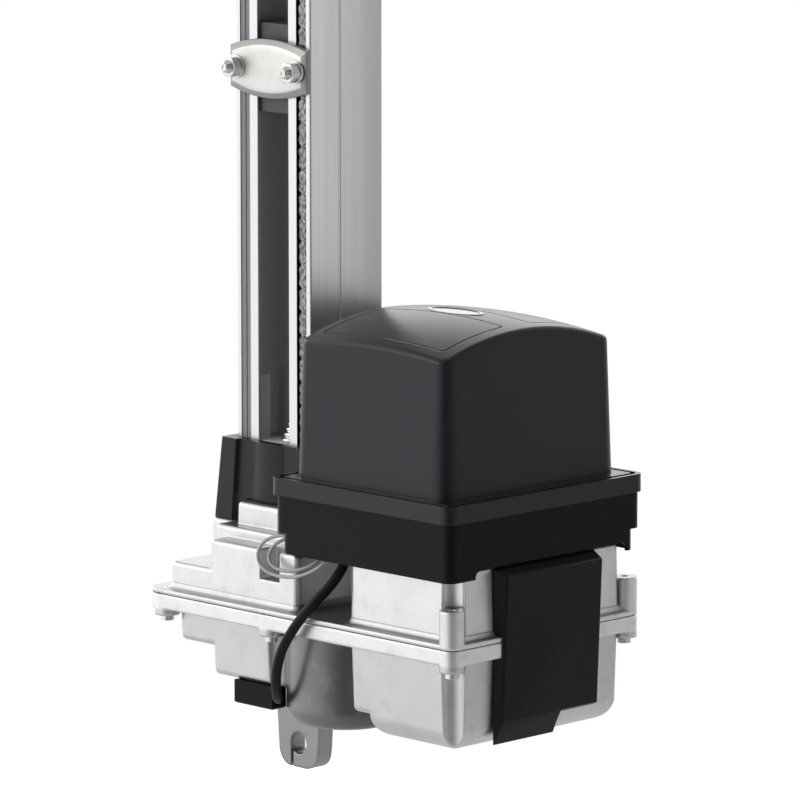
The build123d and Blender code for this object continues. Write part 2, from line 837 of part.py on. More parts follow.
def make_worm_shaft():
    """The worm along X: a threaded stretch under the wheel and plain journals."""
    shaft = along_x(worm_shaft_radius, wheel_y, worm_z, worm_shaft_left, motor_left - motor_nose_length + 8)
    worm = along_x(worm_core_radius, wheel_y, worm_z, -worm_half_length, worm_half_length)
    lead = 2 * worm_half_length / worm_thread_count
    for i in range(worm_thread_count):
        x0 = -worm_half_length + i * lead
        crest = Pos(x0 + lead / 2, wheel_y, worm_z) * Rot(0, 90, 0)
        worm = worm + crest * Cone(worm_tip_radius, worm_core_radius, lead * 0.4, align=(Align.CENTER, Align.CENTER, Align.MIN))
        worm = worm + crest * Rot(180, 0, 0) * Cone(
            worm_tip_radius, worm_core_radius, lead * 0.4, align=(Align.CENTER, Align.CENTER, Align.MIN))
    return shaft + worm


def make_worm_bearings():
    """The two bearings of the worm shaft."""
    rings = []
    for x0 in (worm_bearing_left, worm_bearing_right):
        place = Pos(x0 + bearing_width / 2, wheel_y, worm_z) * Rot(0, 90, 0)
        rings.append(place * bearing_ring(worm_bearing_radius, worm_shaft_radius + running_gap, bearing_width))
    return rings


def make_motor():
    """The motor: a can with a nose at the worm's side and a rear bearing cap."""
    can = along_x(motor_radius, wheel_y, worm_z, motor_left, motor_right)
    can = fillet(can.edges().filter_by(GeomType.CIRCLE), 3)
    nose = along_x(motor_nose_radius, wheel_y, worm_z, motor_left - motor_nose_length, motor_left + 1)
    cap = along_x(motor_rear_radius, wheel_y, worm_z, motor_right - 4, motor_right + 2)
    bore = along_x(worm_shaft_radius + 0.5, wheel_y, worm_z, motor_left - motor_nose_length - 1,
                   motor_left - motor_nose_length + 12)
    return can + nose + cap - bore


def make_transformer():
    """The ring transformer in the bulge, with a clamping washer and bolt in its bore."""
    floor = bulge_bottom + case_wall
    ring = upright(transformer_radius, bulge_x, bulge_y, floor, floor + transformer_height)
    ring = fillet(ring.edges().filter_by(GeomType.CIRCLE), 9)
    ring = ring - upright(transformer_bore, bulge_x, bulge_y, floor - 1, floor + transformer_height + 1)
    return ring


def make_transformer_clamp():
    """The dished washer and bolt that hold the transformer down."""
    floor = bulge_bottom + case_wall
    washer = upright(transformer_bore + 8, bulge_x, bulge_y, floor + transformer_height,
                     floor + transformer_height + 1.5)
    bolt = upright(3, bulge_x, bulge_y, floor, floor + transformer_height + 2)
    nut = hex_prism(10, bulge_x, bulge_y, floor + transformer_height + 1.5, 5)
    return united([washer, bolt, nut])


# Tray, board and cover
tray_floor_bottom = right_body_top
board_bottom = tray_floor_bottom + tray_floor + board_gap
board_left = tray_left + tray_step + board_margin
board_right = tray_right - board_margin
board_front = tray_front + board_margin
board_back = tray_back - tray_step - board_margin
post_places = [(x, y) for x in (board_left + 6, board_right - 6) for y in (board_front + 6, board_back - 6)]
lid_screw_places = [
    (tray_left + tray_step / 2, tray_front + 22), (tray_left + tray_step / 2, tray_back - 22),
    (tray_left + 30, tray_back - tray_step / 2), (tray_right - 30, tray_back - tray_step / 2),
]
wire_holes = [(98.0, -67.6), (88.3, -65.9)]


def rounded_ring(x0, x1, y0, y1, z0, z1, corner, wall):
    """An upright wall of even thickness round a rounded rectangle."""
    outer = drafted(x0, x1, y0, y1, z0, z1, corner, 0)
    inner = drafted(x0 + wall, x1 - wall, y0 + wall, y1 - wall, z0 - 1, z1 + 1, corner - wall, 0)
    return outer - inner


def make_tray():
    """The tray under the cover: a rim, a narrower skirt over the case, a floor and the board's posts."""
    low_left = tray_left + tray_step
    low_back = tray_back - tray_step
    rim = rounded_ring(tray_left, tray_right, tray_front, tray_back, tray_rim_bottom, tray_top,
                       tray_corner, tray_wall)
    ledge = drafted(tray_left, tray_right, tray_front, tray_back, tray_rim_bottom,
                    tray_rim_bottom + tray_wall, tray_corner, 0)
    ledge = ledge - drafted(low_left + tray_wall, tray_right - tray_wall, tray_front + tray_wall,
                            low_back - tray_wall, tray_rim_bottom - 1, tray_rim_bottom + tray_wall + 1,
                            tray_corner - tray_wall, 0)
    skirt = rounded_ring(low_left, tray_right, tray_front, low_back, tray_bottom,
                         tray_rim_bottom + tray_wall, tray_corner, tray_wall)
    floor = drafted(low_left + 1, tray_right - 1, tray_front + 1, low_back - 1, tray_floor_bottom,
                    tray_floor_bottom + tray_floor, tray_corner - 1, 0)
    notch = span_box(tray_right - 2 * tray_wall, tray_right + 1, tray_notch_front, tray_notch_back,
                     tray_bottom - 1, tray_notch_bottom)
    notch = fillet(notch.edges().filter_by(Axis.X).group_by(Axis.Z)[-1], tray_notch_corner)
    tray = united([rim, ledge, skirt - notch, floor])
    for x, y in post_places:
        tray = tray + upright(post_radius, x, y, tray_floor_bottom + tray_floor - 0.5, board_bottom)
        tray = tray - upright(1.5, x, y, tray_floor_bottom + tray_floor, board_bottom + 1)
    for x, y in wire_holes:
        tray = tray - upright(2 * wire_radius, x, y, tray_floor_bottom - 1, tray_floor_bottom + tray_floor + 1)
    for route in (outer_wire_route, inner_wire_route):
        start, after = Vector(*route[0]), Vector(*route[1])
        hole = Plane(origin=start, z_dir=after - start) * Circle(wire_radius + part_clearance)
        tray = tray - extrude(hole, amount=2 * tray_wall + 4)
    return tray - upright(cable_hole_radius, cable_hole_x, cable_hole_y, tray_floor_bottom - 1,
                          tray_floor_bottom + tray_floor + 1)


def make_board():
    """The bare control board with its four fixing holes."""
    board = span_box(board_left, board_right, board_front, board_back, board_bottom, board_bottom + board_thick)
    for x, y in post_places:
        board = board - upright(1.7, x, y, board_bottom - 1, board_bottom + 3)
    return board


def make_board_screws():
    """Four pan-head screws that hold the board on its posts."""
    screws = []
    for x, y in post_places:
        head = upright(3, x, y, board_bottom + board_thick, board_bottom + board_thick + 2)
        screws.append(head + upright(1.4, x, y, board_bottom - 6, board_bottom + board_thick + 0.5))
    return screws


def make_terminals():
    """A row of screw terminals along the board's front edge."""
    blocks = []
    top = board_bottom + board_thick
    front = board_front + terminal_inset
    back = front + terminal_depth
    for i in range(terminal_count):
        x0 = board_left + terminal_start + i * terminal_step
        x1 = x0 + terminal_step - terminal_gap
        block = span_box(x0, x1, front, back, top, top + terminal_height)
        hole = upright(2, (x0 + x1) / 2, (front + back) / 2, top + terminal_height - 3, top + terminal_height + 1)
        blocks.append(block - hole)
    return blocks


def make_relays():
    """Two relays and a fuse holder on the board."""
    top = board_bottom + board_thick
    relays = []
    for i in range(2):
        x0 = board_left + 20 + i * relay_step
        relays.append(span_box(x0, x0 + relay_length, relay_front, relay_back, top, top + relay_height))
    fuse_left = board_left + 80
    relays.append(span_box(fuse_left, fuse_left + fuse_length, relay_front + 10, relay_back - 6, top,
                           top + fuse_height))
    return relays


def make_capacitor():
    """The smoothing capacitor, standing on the board."""
    top = board_bottom + board_thick
    can = upright(capacitor_radius, board_right - capacitor_inset, board_back - capacitor_inset, top,
                  top + capacitor_height)
    return fillet(can.edges().group_by(Axis.Z)[-1], 1.5)


cover_mid_x = (cover_left + cover_right) / 2
cover_mid_y = (cover_front + cover_back) / 2
cover_base = tray_top
cover_flange_top = cover_base + cover_flange_height
roof_peak = eave_z + roof_rise_x + roof_rise_y


def arch_radius(half, rise):
    """The radius of an arc with this half chord and rise."""
    return (half * half + rise * rise) / (2 * rise)


def roof_form(drop):
    """A form under the roof's skin: an arch over Y carried along an arch over X."""
    half_y = (cover_back - cover_front) / 2
    half_x = (cover_right - cover_left) / 2
    reach = 30.0
    radius_y = arch_radius(half_y, roof_rise_y)
    radius_x = arch_radius(half_x, roof_rise_x)
    slope_y = math.asin((half_y + reach) / radius_y)
    edge_y = radius_y * (1 - math.cos(slope_y))
    crown = roof_peak - drop
    profile = Plane.YZ.offset(cover_mid_x)
    with BuildLine() as line:
        ThreePointArc((cover_mid_y - half_y - reach, crown - edge_y), (cover_mid_y, crown),
                      (cover_mid_y + half_y + reach, crown - edge_y))
        Line((cover_mid_y + half_y + reach, crown - edge_y), (cover_mid_y + half_y + reach, cover_base - 60))
        Line((cover_mid_y + half_y + reach, cover_base - 60), (cover_mid_y - half_y - reach, cover_base - 60))
        Line((cover_mid_y - half_y - reach, cover_base - 60), (cover_mid_y - half_y - reach, crown - edge_y))
    face = profile * make_face(line.edges())
    hinge = Axis((cover_mid_x, cover_mid_y, roof_peak - radius_x), (0, 1, 0))
    sweep_angle = math.degrees(math.asin((half_x + reach) / radius_x))
    half_form = revolve(face.rotate(hinge, -sweep_angle), hinge, 2 * sweep_angle)
    return half_form


def cover_body(inset, base):
    """The cover's drafted walls up to the roof's arches."""
    walls = drafted(cover_left + inset, cover_right - inset, cover_front + inset, cover_back - inset, base,
                    roof_peak + 5, cover_corner - inset, cover_draft)
    return walls & roof_form(inset)


def make_cover():
    """The cover: a drafted shell with an arched roof, standing in a flange with a gutter."""
    body = cover_body(0, cover_base)
    eaves = body.faces().sort_by(Axis.Z)[-1].outer_wire().edges()
    body = fillet(eaves, roof_fillet)
    flange = drafted(cover_flange_left, cover_flange_right, cover_flange_front, cover_flange_back,
                     cover_base, cover_flange_top, cover_flange_corner, 0.5)
    gutter = rounded_ring(cover_flange_left + cover_lip_width, cover_flange_right - cover_lip_width,
                          cover_flange_front + cover_lip_width, cover_flange_back - cover_lip_width,
                          cover_flange_top - cover_groove_depth, cover_flange_top + 1,
                          cover_flange_corner - cover_lip_width + 1.5, 3.5)
    inner = cover_body(cover_wall, cover_base - 1)
    outside = flange - gutter + body
    return outside - inner - panel_grooves() - badge_recess()


def panel_grooves():
    """Fine grooves that outline the roof's front and rear panels."""
    half_x = (cover_right - cover_left) / 2 - roof_panel_margin
    half_y = (cover_back - cover_front) / 2 - roof_panel_margin + 2
    cutter = None
    for way in (-1, 1):
        near = cover_mid_y + way * roof_band_half
        far = cover_mid_y + way * half_y
        ring = rounded_ring(cover_mid_x - half_x, cover_mid_x + half_x, min(near, far), max(near, far),
                            eave_z - 5, roof_peak + 5, 4, roof_groove_width)
        cutter = ring if cutter is None else cutter + ring
    return cutter - roof_form(roof_groove_depth)


def badge_recess():
    """The oval recess in the roof's middle band."""
    oval = Plane.XY.offset(roof_peak - badge_thick - 0.6) * Pos(cover_mid_x, cover_mid_y) * Ellipse(
        badge_half_long + 0.3, badge_half_short + 0.3)
    return extrude(oval, amount=badge_thick + 5)


def make_badge():
    """The bare oval plate that lies in the recess."""
    oval = Plane.XY.offset(roof_peak - badge_thick - 0.6) * Pos(cover_mid_x, cover_mid_y) * Ellipse(
        badge_half_long, badge_half_short)
    return extrude(oval, amount=badge_thick)


def make_cover_screws():
    """Screw heads under the tray's ledge, whose shanks go up into the cover."""
    screws = []
    for x, y in lid_screw_places:
        screws.append(upright(lid_screw_radius, x, y, tray_rim_bottom - 2.2, tray_rim_bottom))
    return screws


# Side box and sensor
def make_side_box():
    """The box on the control end: a leaning face with bevels above and below, and a stepped lower end."""
    wall_x = right_body_right
    outline = Polyline((wall_x, side_box_bottom), (wall_x + side_box_reach_bottom, side_box_face_bottom),
                       (wall_x + side_box_reach_top, side_box_face_top), (wall_x, side_box_top), close=True)
    back_face = Plane.XZ.offset(-side_box_back) * make_face(outline)
    box = extrude(back_face, amount=side_box_back - side_box_front)
    ends = [edge for edge in box.edges() if edge.center().X > wall_x + 1 and edge.length > 50
            and abs(edge.tangent_at(0.5).Z) > 0.5]
    box = chamfer(ends, side_box_edge)
    step = span_box(wall_x - 1, wall_x + side_box_reach_top + 1, side_box_step_y, side_box_back + 1,
                    side_box_bottom - 1, side_box_step_z)
    return box - step


def make_encoder():
    """The sensor's housing under the left-hand block."""
    housing = span_box(encoder_left, encoder_right, encoder_front, encoder_back, encoder_bottom, deep_bottom)
    housing = chamfer(housing.edges().group_by(Axis.Z)[0], 1)
    tail, tip = [Vector(*point) for point in encoder_cable_route[-2:]]
    entry = Plane(origin=tip, z_dir=tail - tip) * Circle(cable_radius + part_clearance)
    return housing - extrude(entry, amount=2 * (tail - tip).length)


# Cable and wires: hand-chosen routes
encoder_cable_route = [
    (102.9, -59.7, 164.0), (103.1, -60.5, 150.0), (100.0, -70.5, 134.5), (91.0, -81.5, 120.5),
    (79.0, -86.2, 104.5), (67.5, -86.8, 88.5), (59.5, -84.5, 72.5), (53.5, -79.5, 59.0),
    (47.5, -72.6, 49.8), (40.8, -65.4, 45.8), (34.3, -59.2, 44.8),
]
outer_wire_route = [
    (61.0, -70.5, 160.5), (52.5, -73.0, 161.0), (44.0, -75.5, 158.5), (37.5, -77.5, 153.5),
    (35.0, -78.7, 146.0), (38.5, -79.5, 139.5), (46.0, -80.0, 135.8), (56.5, -80.2, 134.6),
    (70.0, -80.2, 135.3), (82.0, -78.8, 139.0), (91.5, -75.5, 144.5), (96.5, -70.8, 151.5),
    (98.0, -67.4, 160.0),
]
inner_wire_route = [
    (61.0, -64.5, 158.5), (54.0, -67.5, 158.3), (48.3, -70.8, 156.0), (44.2, -73.8, 151.4),
    (42.9, -75.6, 145.9), (45.6, -76.8, 141.0), (51.8, -77.3, 138.6), (61.5, -77.0, 138.0),
    (72.0, -75.3, 140.0), (80.5, -72.0, 143.8), (86.5, -68.2, 150.0), (88.5, -65.5, 158.0),
]


def corner_radii(points):
    """For each inner point, 0.45 of its shorter run over the tangent of half its turn."""
    radii = []
    for before, at, after in zip(points, points[1:], points[2:]):
        run_in = Vector(*at) - Vector(*before)
        run_out = Vector(*after) - Vector(*at)
        half_turn = math.radians(run_in.get_angle(run_out)) / 2
        radii.append(0.45 * min(run_in.length, run_out.length) / math.tan(half_turn))
    return radii


def make_tube(name, points, radius):
    """A round lead along its route of straight runs and tangent arcs."""
    radii = corner_radii(points)
    print(name, "arc radii", [round(r, 1) for r in radii])
    path = FilletPolyline(*points, radius=radii)
    start = Plane(origin=path @ 0, z_dir=path % 0)
    tube = sweep(start * Circle(radius), path=path)
    print(name, "length", round(path.length, 1), "volume share",
          round(tube.volume / (math.pi * radius * radius * path.length), 4))
    return tube


def make_gland():
    """The grommet in the tray's floor round the sensor's lead."""
    low = tray_floor_bottom - gland_lip
    ring = upright(gland_radius, cable_hole_x, cable_hole_y, low, tray_floor_bottom)
    neck = upright(cable_hole_radius, cable_hole_x, cable_hole_y, tray_floor_bottom - 1,
                   tray_floor_bottom + tray_floor)
    return ring + neck - upright(cable_radius + 0.6, cable_hole_x, cable_hole_y, low - 1,
                                 tray_floor_bottom + tray_floor + 1)


# Idler end
def make_fork():
    """The fork that carries the idler: two cheeks and a bridge."""
    cheeks = []
    for way in (-1, 1):
        y0 = chain_y + way * fork_cheek_gap
        y1 = y0 + way * fork_cheek_thick
        cheeks.append(span_box(-fork_half, fork_half, min(y0, y1), max(y0, y1), fork_bottom,
                               fork_bridge + fork_bridge_thick))
    reach = fork_cheek_gap + fork_cheek_thick
    bridge = span_box(-fork_half, fork_half, chain_y - reach, chain_y + reach, fork_bridge,
                      fork_bridge + fork_bridge_thick)
    fork = united(cheeks + [bridge])
    fork = fork - along_y(axle_radius, 0, idler_z, chain_y - 10, chain_y + 10)
    return fork - upright(tension_radius, 0, chain_y, fork_bridge - 1, fork_bridge + fork_bridge_thick + 1)


def make_idler_axle():
    """The idler's axle with a head at each cheek."""
    reach = fork_cheek_gap + fork_cheek_thick
    axle = along_y(axle_radius, 0, idler_z, chain_y - reach, chain_y + reach)
    for way in (-1, 1):
        y0 = chain_y + way * reach
        y1 = y0 + way * axle_head_height
        axle = axle + along_y(axle_head_radius, 0, idler_z, min(y0, y1), max(y0, y1))
    return axle


def make_end_bracket():
    """The wall bracket: two sides on the rail, outward feet and a cross plate for the tension screw."""
    inner = rail_half + part_clearance
    outer = inner + end_wall
    parts = []
    for way in (-1, 1):
        xs = sorted((way * inner, way * outer))
        parts.append(span_box(xs[0], xs[1], end_front, end_back, end_side_bottom, end_top))
        feet = sorted((way * inner, way * (outer + foot_reach)))
        parts.append(span_box(feet[0], feet[1], end_front, end_back, end_top - end_wall, end_top))
    parts.append(span_box(-outer + 1, outer - 1, end_front - 10, end_back, cross_plate_z, cross_plate_z + end_wall))
    bracket = united(parts)
    bracket = bracket - upright(tension_radius + tension_clearance, 0, chain_y, cross_plate_z - 1,
                                cross_plate_z + end_wall + 1)
    for way in (-1, 1):
        for y in (end_front + foot_hole_inset, end_back - foot_hole_inset):
            bracket = bracket - upright(foot_hole_radius, way * (outer + foot_hole_inset), y,
                                        end_top - end_wall - 1, end_top + 1)
    for y in end_screw_rows:
        bracket = bracket - along_x(end_screw_radius + 0.2, y, end_screw_z, -outer - 1, outer + 1)
    return bracket


def make_tension_screw():
    """The hexagon screw that draws the fork up and tightens the chain."""
    top = cross_plate_z + end_wall
    shank = upright(tension_radius, 0, chain_y, fork_bridge, top)
    return shank + hex_prism(tension_head_flats, 0, chain_y, top, tension_head_height)


def make_tension_nut():
    """The lock nut under the cross plate."""
    nut = hex_prism(tension_head_flats, 0, chain_y, cross_plate_z - 5.5, 5.2)
    return nut - upright(tension_radius + running_gap, 0, chain_y, cross_plate_z - 7, cross_plate_z + 1)


def make_end_screws():
    """Button-head screws through the bracket's sides into the rail."""
    outer = rail_half + part_clearance + end_wall
    screws = []
    for way in (-1, 1):
        for y in end_screw_rows:
            xs = sorted((way * outer, way * (outer + end_screw_head_height)))
            head = along_x(end_screw_head_radius, y, end_screw_z, xs[0], xs[1])
            shank = sorted((way * (rail_half + 0.05), way * (outer + 1)))
            screws.append(head + along_x(end_screw_radius, y, end_screw_z, shank[0], shank[1]))
    return screws


def export(name, shape):
    """Write one node; a list becomes a group of separate solids."""
    if isinstance(shape, list):
        shape = Compound(children=shape)
    export_step(shape, os.path.join("parts", name + ".step"))


def main():
    """Build every node."""
    os.makedirs("parts", exist_ok=True)
    nodes = {
        "upper_case": make_upper_case(),
        "lower_case": make_lower_case(),
        "case_gasket": make_gasket(),
        "case_screws": make_case_screws(),
        "rail": make_rail(),
        "rail_socket": make_socket(),
        "chain": make_chain(),
        "chain_guard": make_guard(),
        "buffer": make_buffer(),
        "buffer_bracket": make_buffer_bracket(),
        "drive_sprocket": make_sprocket(sprocket_z, sprocket_bore, 10, chain_y + 8, 0.5),
        "drive_shaft": make_shaft(),
        "shaft_bearings": make_shaft_bearings(),
        "worm_wheel": make_worm_wheel(),
        "worm_shaft": make_worm_shaft(),
        "worm_bearings": make_worm_bearings(),
        "motor": make_motor(),
        "transformer": make_transformer(),
        "transformer_clamp": make_transformer_clamp(),
        "tray": make_tray(),
        "control_board": make_board(),
        "board_screws": make_board_screws(),
        "board_terminals": make_terminals(),
        "board_relays": make_relays(),
        "board_capacitor": make_capacitor(),
        "cover": make_cover(),
        "cover_badge": make_badge(),
        "cover_screws": make_cover_screws(),
        "side_box": make_side_box(),
        "sensor_housing": make_encoder(),
        "sensor_cable": make_tube("sensor_cable", encoder_cable_route, cable_radius),
        "cable_grommet": make_gland(),
        "outer_wire": make_tube("outer_wire", outer_wire_route, wire_radius),
        "inner_wire": make_tube("inner_wire", inner_wire_route, wire_radius),
        "carriage_plate": make_carriage_plate(),
        "carriage_slider": make_slider(),
        "carriage_studs": make_studs(),
        "carriage_washers": make_washers(),
        "carriage_nuts": make_nuts(),
        "idler_sprocket": make_sprocket(idler_z, idler_bore, 7, chain_y + 3.6, 0.0),
        "idler_fork": make_fork(),
        "idler_axle": make_idler_axle(),
        "end_bracket": make_end_bracket(),
        "tension_screw": make_tension_screw(),
        "tension_nut": make_tension_nut(),
        "end_screws": make_end_screws(),
    }
    for name, shape in nodes.items():
        export(name, shape)


main()
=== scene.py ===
"""The looks of an up-and-over door opener, in metres: finishes, chain, trim, fasteners, leads and studio."""

import logging
import math
from dataclasses import dataclass
from enum import Enum
from typing import Any, Sequence

import bmesh
import bpy
import numpy as np
from mathutils import Matrix, Vector


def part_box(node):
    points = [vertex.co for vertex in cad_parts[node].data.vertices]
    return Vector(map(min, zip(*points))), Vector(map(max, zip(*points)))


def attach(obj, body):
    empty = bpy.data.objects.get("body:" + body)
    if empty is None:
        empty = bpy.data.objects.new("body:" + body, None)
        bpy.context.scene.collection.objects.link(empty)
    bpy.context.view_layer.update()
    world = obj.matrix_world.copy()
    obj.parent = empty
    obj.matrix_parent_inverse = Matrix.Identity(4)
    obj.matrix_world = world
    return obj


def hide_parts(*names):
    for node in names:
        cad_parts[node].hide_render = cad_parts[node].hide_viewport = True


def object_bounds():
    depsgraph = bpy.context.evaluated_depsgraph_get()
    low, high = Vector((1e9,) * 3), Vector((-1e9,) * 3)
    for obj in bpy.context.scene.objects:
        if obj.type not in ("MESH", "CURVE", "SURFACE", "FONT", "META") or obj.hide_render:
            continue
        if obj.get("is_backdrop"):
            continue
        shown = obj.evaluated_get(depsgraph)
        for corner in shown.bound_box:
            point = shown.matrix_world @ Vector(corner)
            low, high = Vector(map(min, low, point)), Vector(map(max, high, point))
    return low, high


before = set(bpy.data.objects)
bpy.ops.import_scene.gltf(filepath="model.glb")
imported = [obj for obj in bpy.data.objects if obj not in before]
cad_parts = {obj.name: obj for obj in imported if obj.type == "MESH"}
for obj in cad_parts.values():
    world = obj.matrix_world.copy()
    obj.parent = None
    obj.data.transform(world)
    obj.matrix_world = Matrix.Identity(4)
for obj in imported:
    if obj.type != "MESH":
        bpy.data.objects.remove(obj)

Point = tuple[float, float, float]
Colour = tuple[float, float, float]
Step = tuple[float, float]  # the middle and the width of a soft step
Shape = tuple[np.ndarray, list[list[int]]]  # points, and each face's indices
log = logging.getLogger("door_opener")

MM = 0.001
WHITE = (1.0, 1.0, 1.0, 1.0)
CARRIAGE_Z = 466.5 * MM
NOISE_MIDDLE = 0.5
NOISE_ROUGHNESS = 0.55
EDGE_SAMPLES = 6
COAT_ROUGHNESS = 0.2
NEARLY_UPRIGHT = 0.9
MERGE_DISTANCE = 1e-6


class Body(Enum):
    """The bodies that pieces ride on."""

    CASE = "root"
    CARRIAGE = "carriage"


class Grain(Enum):
    """The way that a surface's fine marks run."""

    EVEN = (1.0, 1.0, 1.0)
    ALONG_RAIL = (1.0, 1.0, 0.012)


class Value:
    """A shader socket that holds one number, with arithmetic that adds Math nodes."""

    def __init__(self, shader: "Shader", socket: Any) -> None:
        """Wrap a socket of a shader."""
        self.shader = shader
        self.socket = socket

    def _with(self, operation: str, *others: Any) -> "Value":
        """Add one Math node.

        Args:
            operation: The Math node's operation.
            others: The inputs in order, as numbers or values.

        Returns:
            The node's result.
        """
        sockets = {i: other for i, other in enumerate(others)}
        node = self.shader.node("ShaderNodeMath", {"operation": operation}, sockets)
        return Value(self.shader, node.outputs[0])

    def __add__(self, other: Any) -> "Value":
        """This plus the other."""
        return self._with("ADD", self, other)

    def __sub__(self, other: Any) -> "Value":
        """This less the other."""
        return self._with("SUBTRACT", self, other)

    def __rsub__(self, other: Any) -> "Value":
        """The other less this."""
        return self._with("SUBTRACT", other, self)

    def __mul__(self, other: Any) -> "Value":
        """This times the other."""
        return self._with("MULTIPLY", self, other)

    def __truediv__(self, other: Any) -> "Value":
        """This over the other."""
        return self._with("DIVIDE", self, other)

    __radd__ = __add__
    __rmul__ = __mul__

    def size(self) -> "Value":
        """This without its sign."""
        return self._with("ABSOLUTE", self)

    def above(self, limit: float, soft: float) -> "Value":
        """A mask that rises from 0 to 1 over a soft step.

        Args:
            limit: Where the mask is a half.
            soft: The step's width.

        Returns:
            The mask, from 0 to 1.
        """
        ease = self.shader.node("ShaderNodeMapRange", {"interpolation_type": "SMOOTHSTEP"}, {
            "Value": self, "From Min": limit - soft / 2, "From Max": limit + soft / 2})
        return Value(self.shader, ease.outputs["Result"])

    def below(self, limit: float, soft: float) -> "Value":
        """The opposite of above."""
        return 1 - self.above(limit, soft)


class Shader:
    """One material or world, whose nodes come from a single method."""

    def __init__(self, owner: Any) -> None:
        """Clear the owner's nodes.

        Args:
            owner: The material or world.
        """
        owner.use_nodes = True
        self.tree = owner.node_tree
        self.tree.nodes.clear()

    def node(self, kind: str, settings: dict[str, Any] | None = None,
             sockets: dict[Any, Any] | None = None) -> Any:
        """Add one node.

        Args:
            kind: The node's type.
            settings: What is set first, such as a Math node's operation.
            sockets: Values or links for inputs, by name or by number.

        Returns:
            The new node.
        """
        made = self.tree.nodes.new(kind)
        for name, value in (settings or {}).items():
            setattr(made, name, value)
        for name, value in (sockets or {}).items():
            socket = made.inputs[name]
            if isinstance(value, Value):
                self.tree.links.new(value.socket, socket)
            elif isinstance(value, bpy.types.NodeSocket):
                self.tree.links.new(value, socket)
            else:
                socket.default_value = value
        return made

    def place(self) -> Any:
        """The object's own coordinates, which are the frame's."""
        return self.node("ShaderNodeTexCoord").outputs["Object"]

    def axes(self, point: Any) -> tuple[Value, Value, Value]:
        """The three coordinates of a point as values."""
        split = self.node("ShaderNodeSeparateXYZ", {}, {0: point})
        return tuple(Value(self, output) for output in split.outputs)

    def noise(self, point: Any, size: float, detail: float, grain: Grain = Grain.EVEN) -> Value:
        """Soft noise.

        Args:
            point: The coordinates.
            size: The size of its features, in metres.
            detail: How many finer layers it has.
            grain: The way it is drawn out.

        Returns:
            The noise, about a half on average.
        """
        stretched = self.node("ShaderNodeMapping", {}, {"Vector": point, "Scale": grain.value})
        made = self.node("ShaderNodeTexNoise", {}, {
            "Vector": stretched.outputs[0], "Scale": 1 / size, "Detail": detail,
            "Roughness": NOISE_ROUGHNESS})
        return Value(self, made.outputs["Fac"])

    def mix(self, factor: Any, first: Any, second: Any) -> Any:
        """A colour between two.

        Args:
            factor: 0 for the first, 1 for the second.
            first: A colour or a socket.
            second: A colour or a socket.

        Returns:
            The mixed colour's socket.
        """
        made = self.node("ShaderNodeMix", {"data_type": "RGBA", "clamp_factor": True}, {
            0: factor, 6: opaque(first), 7: opaque(second)})
        return made.outputs[2]


def opaque(colour: Any) -> Any:
    """A colour's three numbers with an alpha of one; a socket stays as it is."""
    return (*colour, 1.0) if isinstance(colour, tuple) and len(colour) == 3 else colour


@dataclass(frozen=True)
class Finish:
    """A surface with a wandering tone, fine grain and softly rounded edges."""

    name: str
    tone: Colour
    metallic: float = 0.0
    roughness: float = 0.5
    mottle: float = 0.06
    mottle_size: float = 30 * MM
    mottle_step: Step = (NOISE_MIDDLE, 0.5)
    roughness_play: float = 0.08
    grain_size: float = 0.6 * MM
    grain_height: float = 0.03 * MM
    grain: Grain = Grain.EVEN
    edge: float = 0.6 * MM
    coat: float = 0.0
    specular: float = 0.5

    def tint(self, shader: Shader, point: Any, tone: Any) -> Any:
        """Change the tone over the surface; a plain finish leaves it."""
        return tone

    def relief(self, shader: Shader, point: Any) -> Value:
        """The height pattern, from about 0 to 1."""
        return shader.noise(point, self.grain_size, detail=2.0, grain=self.grain)

    def build(self) -> bpy.types.Material:
        """Make the material.

        Returns:
            The material, with its nodes linked.
        """
        material = bpy.data.materials.new(self.name)
        shader = Shader(material)
        point = shader.place()
        cloud = shader.noise(point, self.mottle_size, detail=4.0, grain=self.grain)
        dark = tuple(c * (1 - self.mottle) for c in self.tone)
        light = tuple(min(1.0, c * (1 + self.mottle)) for c in self.tone)
        tone = shader.mix(cloud.above(*self.mottle_step), dark, light)
        tone = self.tint(shader, point, tone)
        rough = (cloud - NOISE_MIDDLE) * self.roughness_play + self.roughness
        rounded = shader.node("ShaderNodeBevel", {"samples": EDGE_SAMPLES}, {"Radius": self.edge})
        bump = shader.node("ShaderNodeBump", {}, {
            "Strength": 1.0, "Distance": self.grain_height, "Height": self.relief(shader, point),
            "Normal": rounded.outputs[0]})
        surface = shader.node("ShaderNodeBsdfPrincipled", {}, {
            "Base Color": tone, "Metallic": self.metallic, "Roughness": rough,
            "Specular IOR Level": self.specular, "Coat Weight": self.coat,
            "Coat Roughness": COAT_ROUGHNESS, "Normal": bump.outputs[0]})
        shader.node("ShaderNodeOutputMaterial", {}, {"Surface": surface.outputs[0]})
        return material


